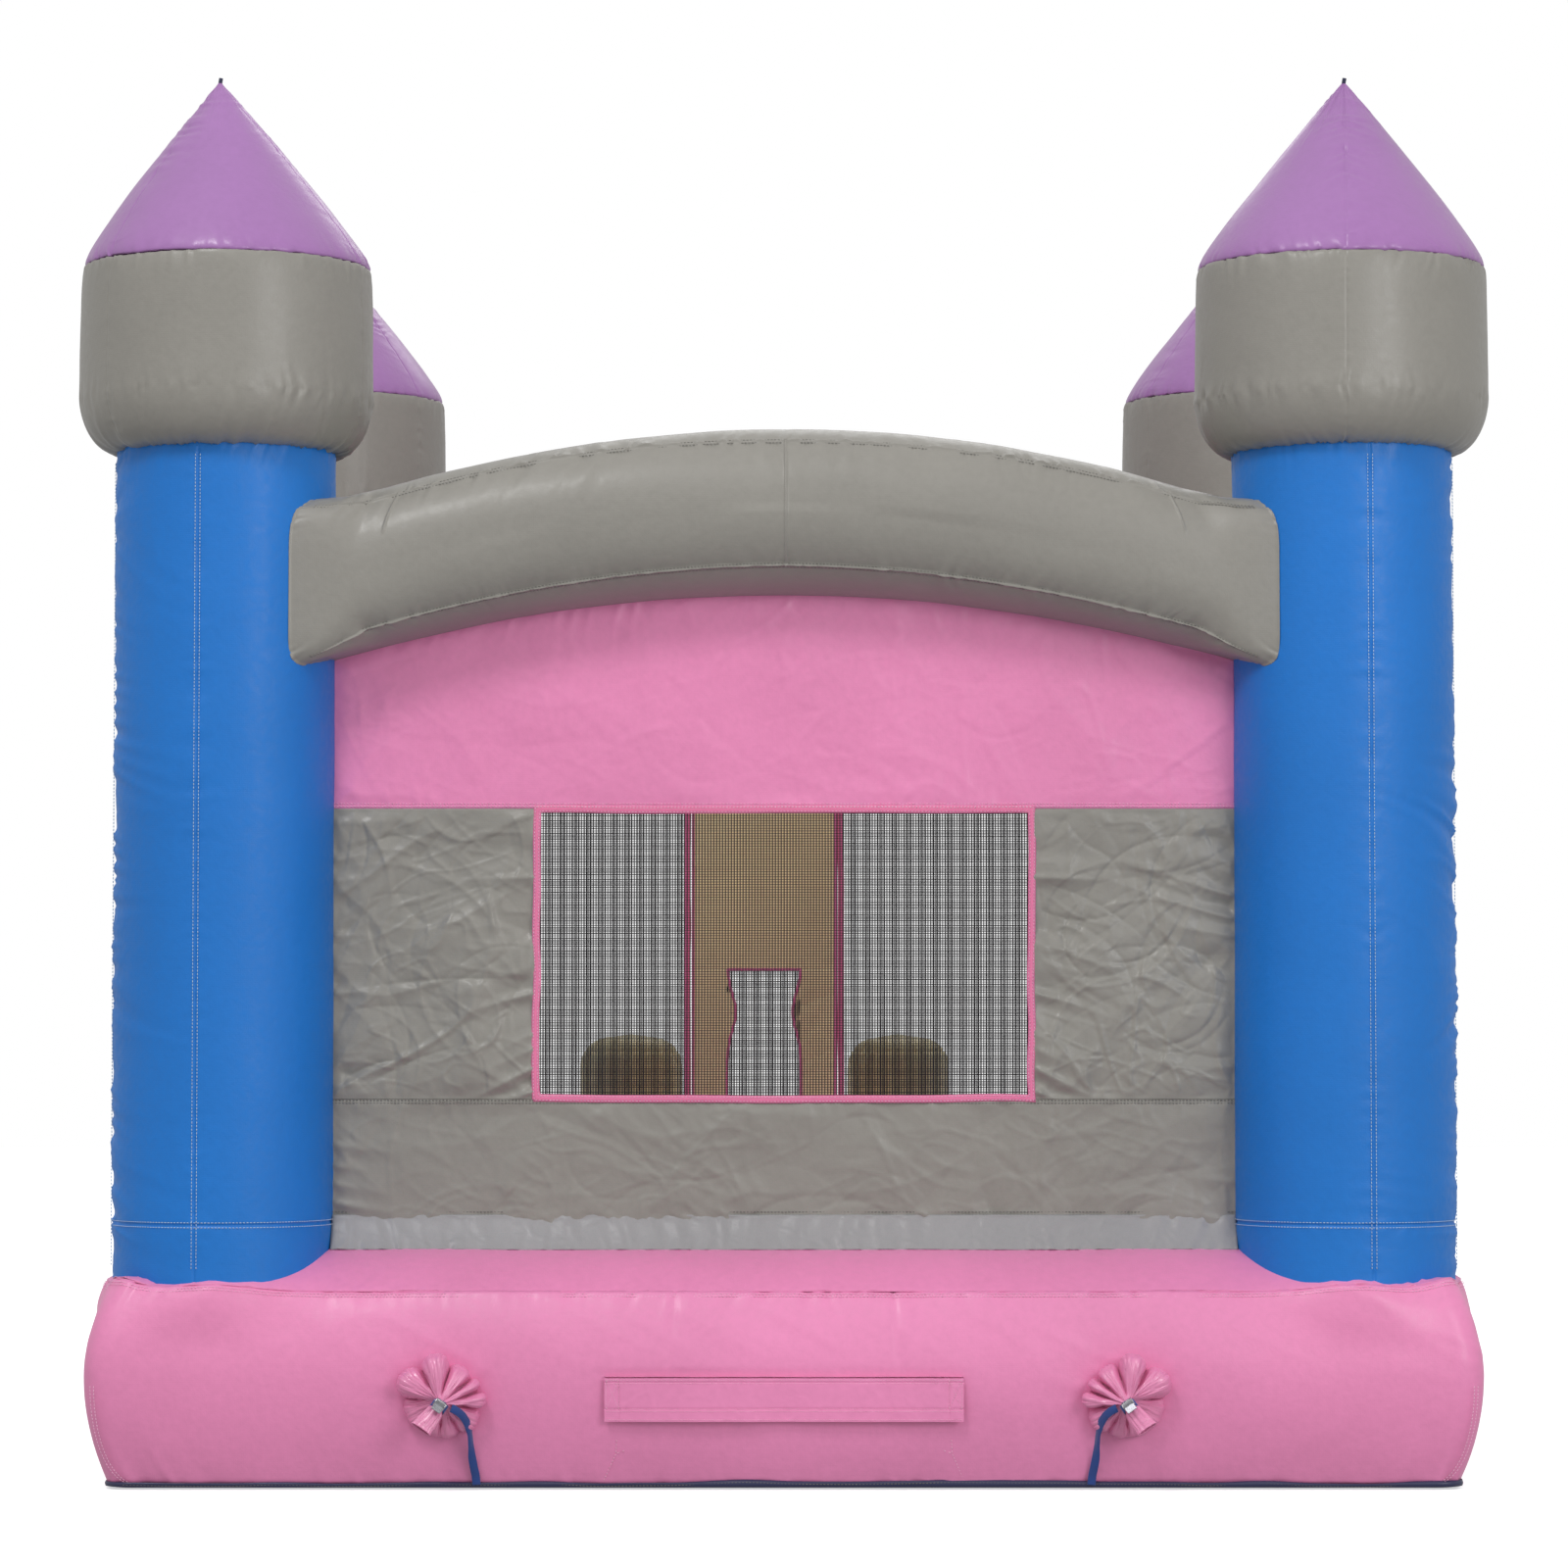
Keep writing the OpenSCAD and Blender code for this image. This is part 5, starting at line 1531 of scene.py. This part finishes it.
def zipper():
    """The zipper behind the flap: woven tape, two rows of coil and the slider; and the strip that holds the flap."""
    z_mid = (FLAP_LOW[2] + FLAP_HIGH[2]) / 2
    half = 0.480
    x, z = np.meshgrid(np.linspace(-half, half, 160), np.linspace(-0.016, 0.016, 9), indexing="ij")
    y = -(BASE_HALF + 0.0018) - 0.0006 * noise(x / 0.05, z / 0.02, 301)
    tape = thicken(surface("zipper_tape_cloth", np.stack([x, y, z_mid + z], -1)), 0.0012)
    finish_piece(tape, ZIP_TAPE, nodes=("zipper_tape",))
    turns = 900
    t = np.linspace(0, 1, turns * 4)
    for k, sign in enumerate((-1, 1)):
        a = t * turns * math.pi
        path = np.stack([-half + 2 * half * t, -(BASE_HALF + 0.0035) - 0.0008 * np.sin(a),
                         z_mid + sign * 0.0018 + 0.0016 * np.cos(a)], -1)
        coil = tube(f"zipper_coil_{k}", path, 0.0005, 4, up=(0, 1, 0))
        finish_piece(coil, ZIP_TAPE)
    strip = []
    for out, z in ((0.001, 0.0026), (0.004, 0.0034), (0.007, 0.0040), (0.0096, 0.0042)):
        xs = np.linspace(FLAP_LOW[0], FLAP_HIGH[0], 200)
        height = FLAP_HIGH[2] + z + 0.0006 * noise(xs / 0.05, out, 303)
        strip.append(np.stack([xs, -(BASE_HALF + out) + 0 * xs, height], -1))
    hem = thicken(surface("zipper_flap_seam", np.stack(strip, 1)), 0.002)
    finish_piece(hem, PINK)

    low, high = box("zipper_slider")
    middle = (low + high) / 2
    plate("slider_body", [(-0.0065, -0.004), (-0.003, -0.0065), (0.003, -0.0065), (0.0065, -0.003), (0.0065, 0.003),
                          (0.003, 0.0065), (-0.003, 0.0065), (-0.0065, 0.004)], 0.0035,
          [middle[0], high[1] - 0.0025, middle[2]], (1, 0, 0), (0, 0, 1), 0.0005, STEEL, "zipper_slider",
          ("zipper_slider",))
    pull = rounded(0.007, 0.020, 0.003)
    plate("slider_pull", pull, 0.0014, [middle[0], high[1] - 0.0052, middle[2] - 0.0022], (1, 0, 0), (0, 0, 1),
          0.0004, STEEL, "zipper_slider")


# ---- anchors ----

def anchor(corner):
    """A sewn webbing tab, folded round the straight bar of its ring."""
    sx, _ = tower_sign(corner)
    low, high = box(f"anchor_ring_{corner}")
    bar_x, bar_y = (low[0] + high[0]) / 2, (low[1] + high[1]) / 2
    bar_z = high[2] - 0.004
    top_z = 0.205
    z = np.linspace(top_z, bar_z + 0.030, 14)
    outer = np.stack([side_u(z) + 0.0055, z], -1)
    a = np.linspace(math.radians(60), math.radians(-215), 26)
    loop = np.stack([abs(bar_x) + 0.0062 * np.cos(a), bar_z + 0.0062 * np.sin(a)], -1)
    z = np.linspace(bar_z + 0.022, top_z - 0.004, 14)
    inner = np.stack([side_u(z) + 0.0030, z], -1)
    profile = np.vstack([outer, loop, inner])
    path = np.stack([sx * profile[:, 0], bar_y + 0 * profile[:, 0], profile[:, 1]], -1)
    tab = tube(f"anchor_tab_{corner}", path, 0, section=flat_section(0.036, 0.0018), up=(sx, 0, 0.02))
    finish_piece(tab, TAB, nodes=("anchor_tabs",))
    out = (sx, 0, 0)
    zz = np.linspace(0, 1, 20)
    w, z0, z1 = 0.013, 0.152, 0.200
    for (a0, b0), (a1, b1) in (((-w, z0), (w, z0)), ((-w, z1), (w, z1)), ((-w, z0), (-w, z1)), ((w, z0), (w, z1)),
                               ((-w, z0), (w, z1)), ((-w, z1), (w, z0))):
        z = b0 + (b1 - b0) * zz
        row = np.stack([sx * (side_u(z) + 0.0072), bar_y + a0 + (a1 - a0) * zz, z], -1)
        stitch_row(row, out, THREAD, pitch=0.0055, length=0.004, width=0.0012)


ground_sheet()
base_side()
base_top()
base_stitching()
for i, corner in enumerate(CORNERS):
    column(corner, 100 + 40 * i)
    drum(corner, 300 + 40 * i)
    cone(corner, 500 + 40 * i)
    anchor(corner)
for i, side in enumerate(SIDES):
    arch(side, 700 + 40 * i)
for i, side in enumerate(("rear", "right", "left")):
    plain_wall(side, 900 + 60 * i)
front_wall(1100)
door_flap()
ramp_cushion(1200)
for i, hand in enumerate(HANDS):
    post(hand, 1220 + 20 * i)
    air_tube(hand, 1300)
    tie_band(hand)
    buckle(hand)
    tie_strap(hand)
zipper_flap(1400)
zipper()
sew("stitching")

for corner in CORNERS:
    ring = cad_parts[f"anchor_ring_{corner}"]
    for k in range(len(ring.data.materials)):
        ring.data.materials[k] = STEEL
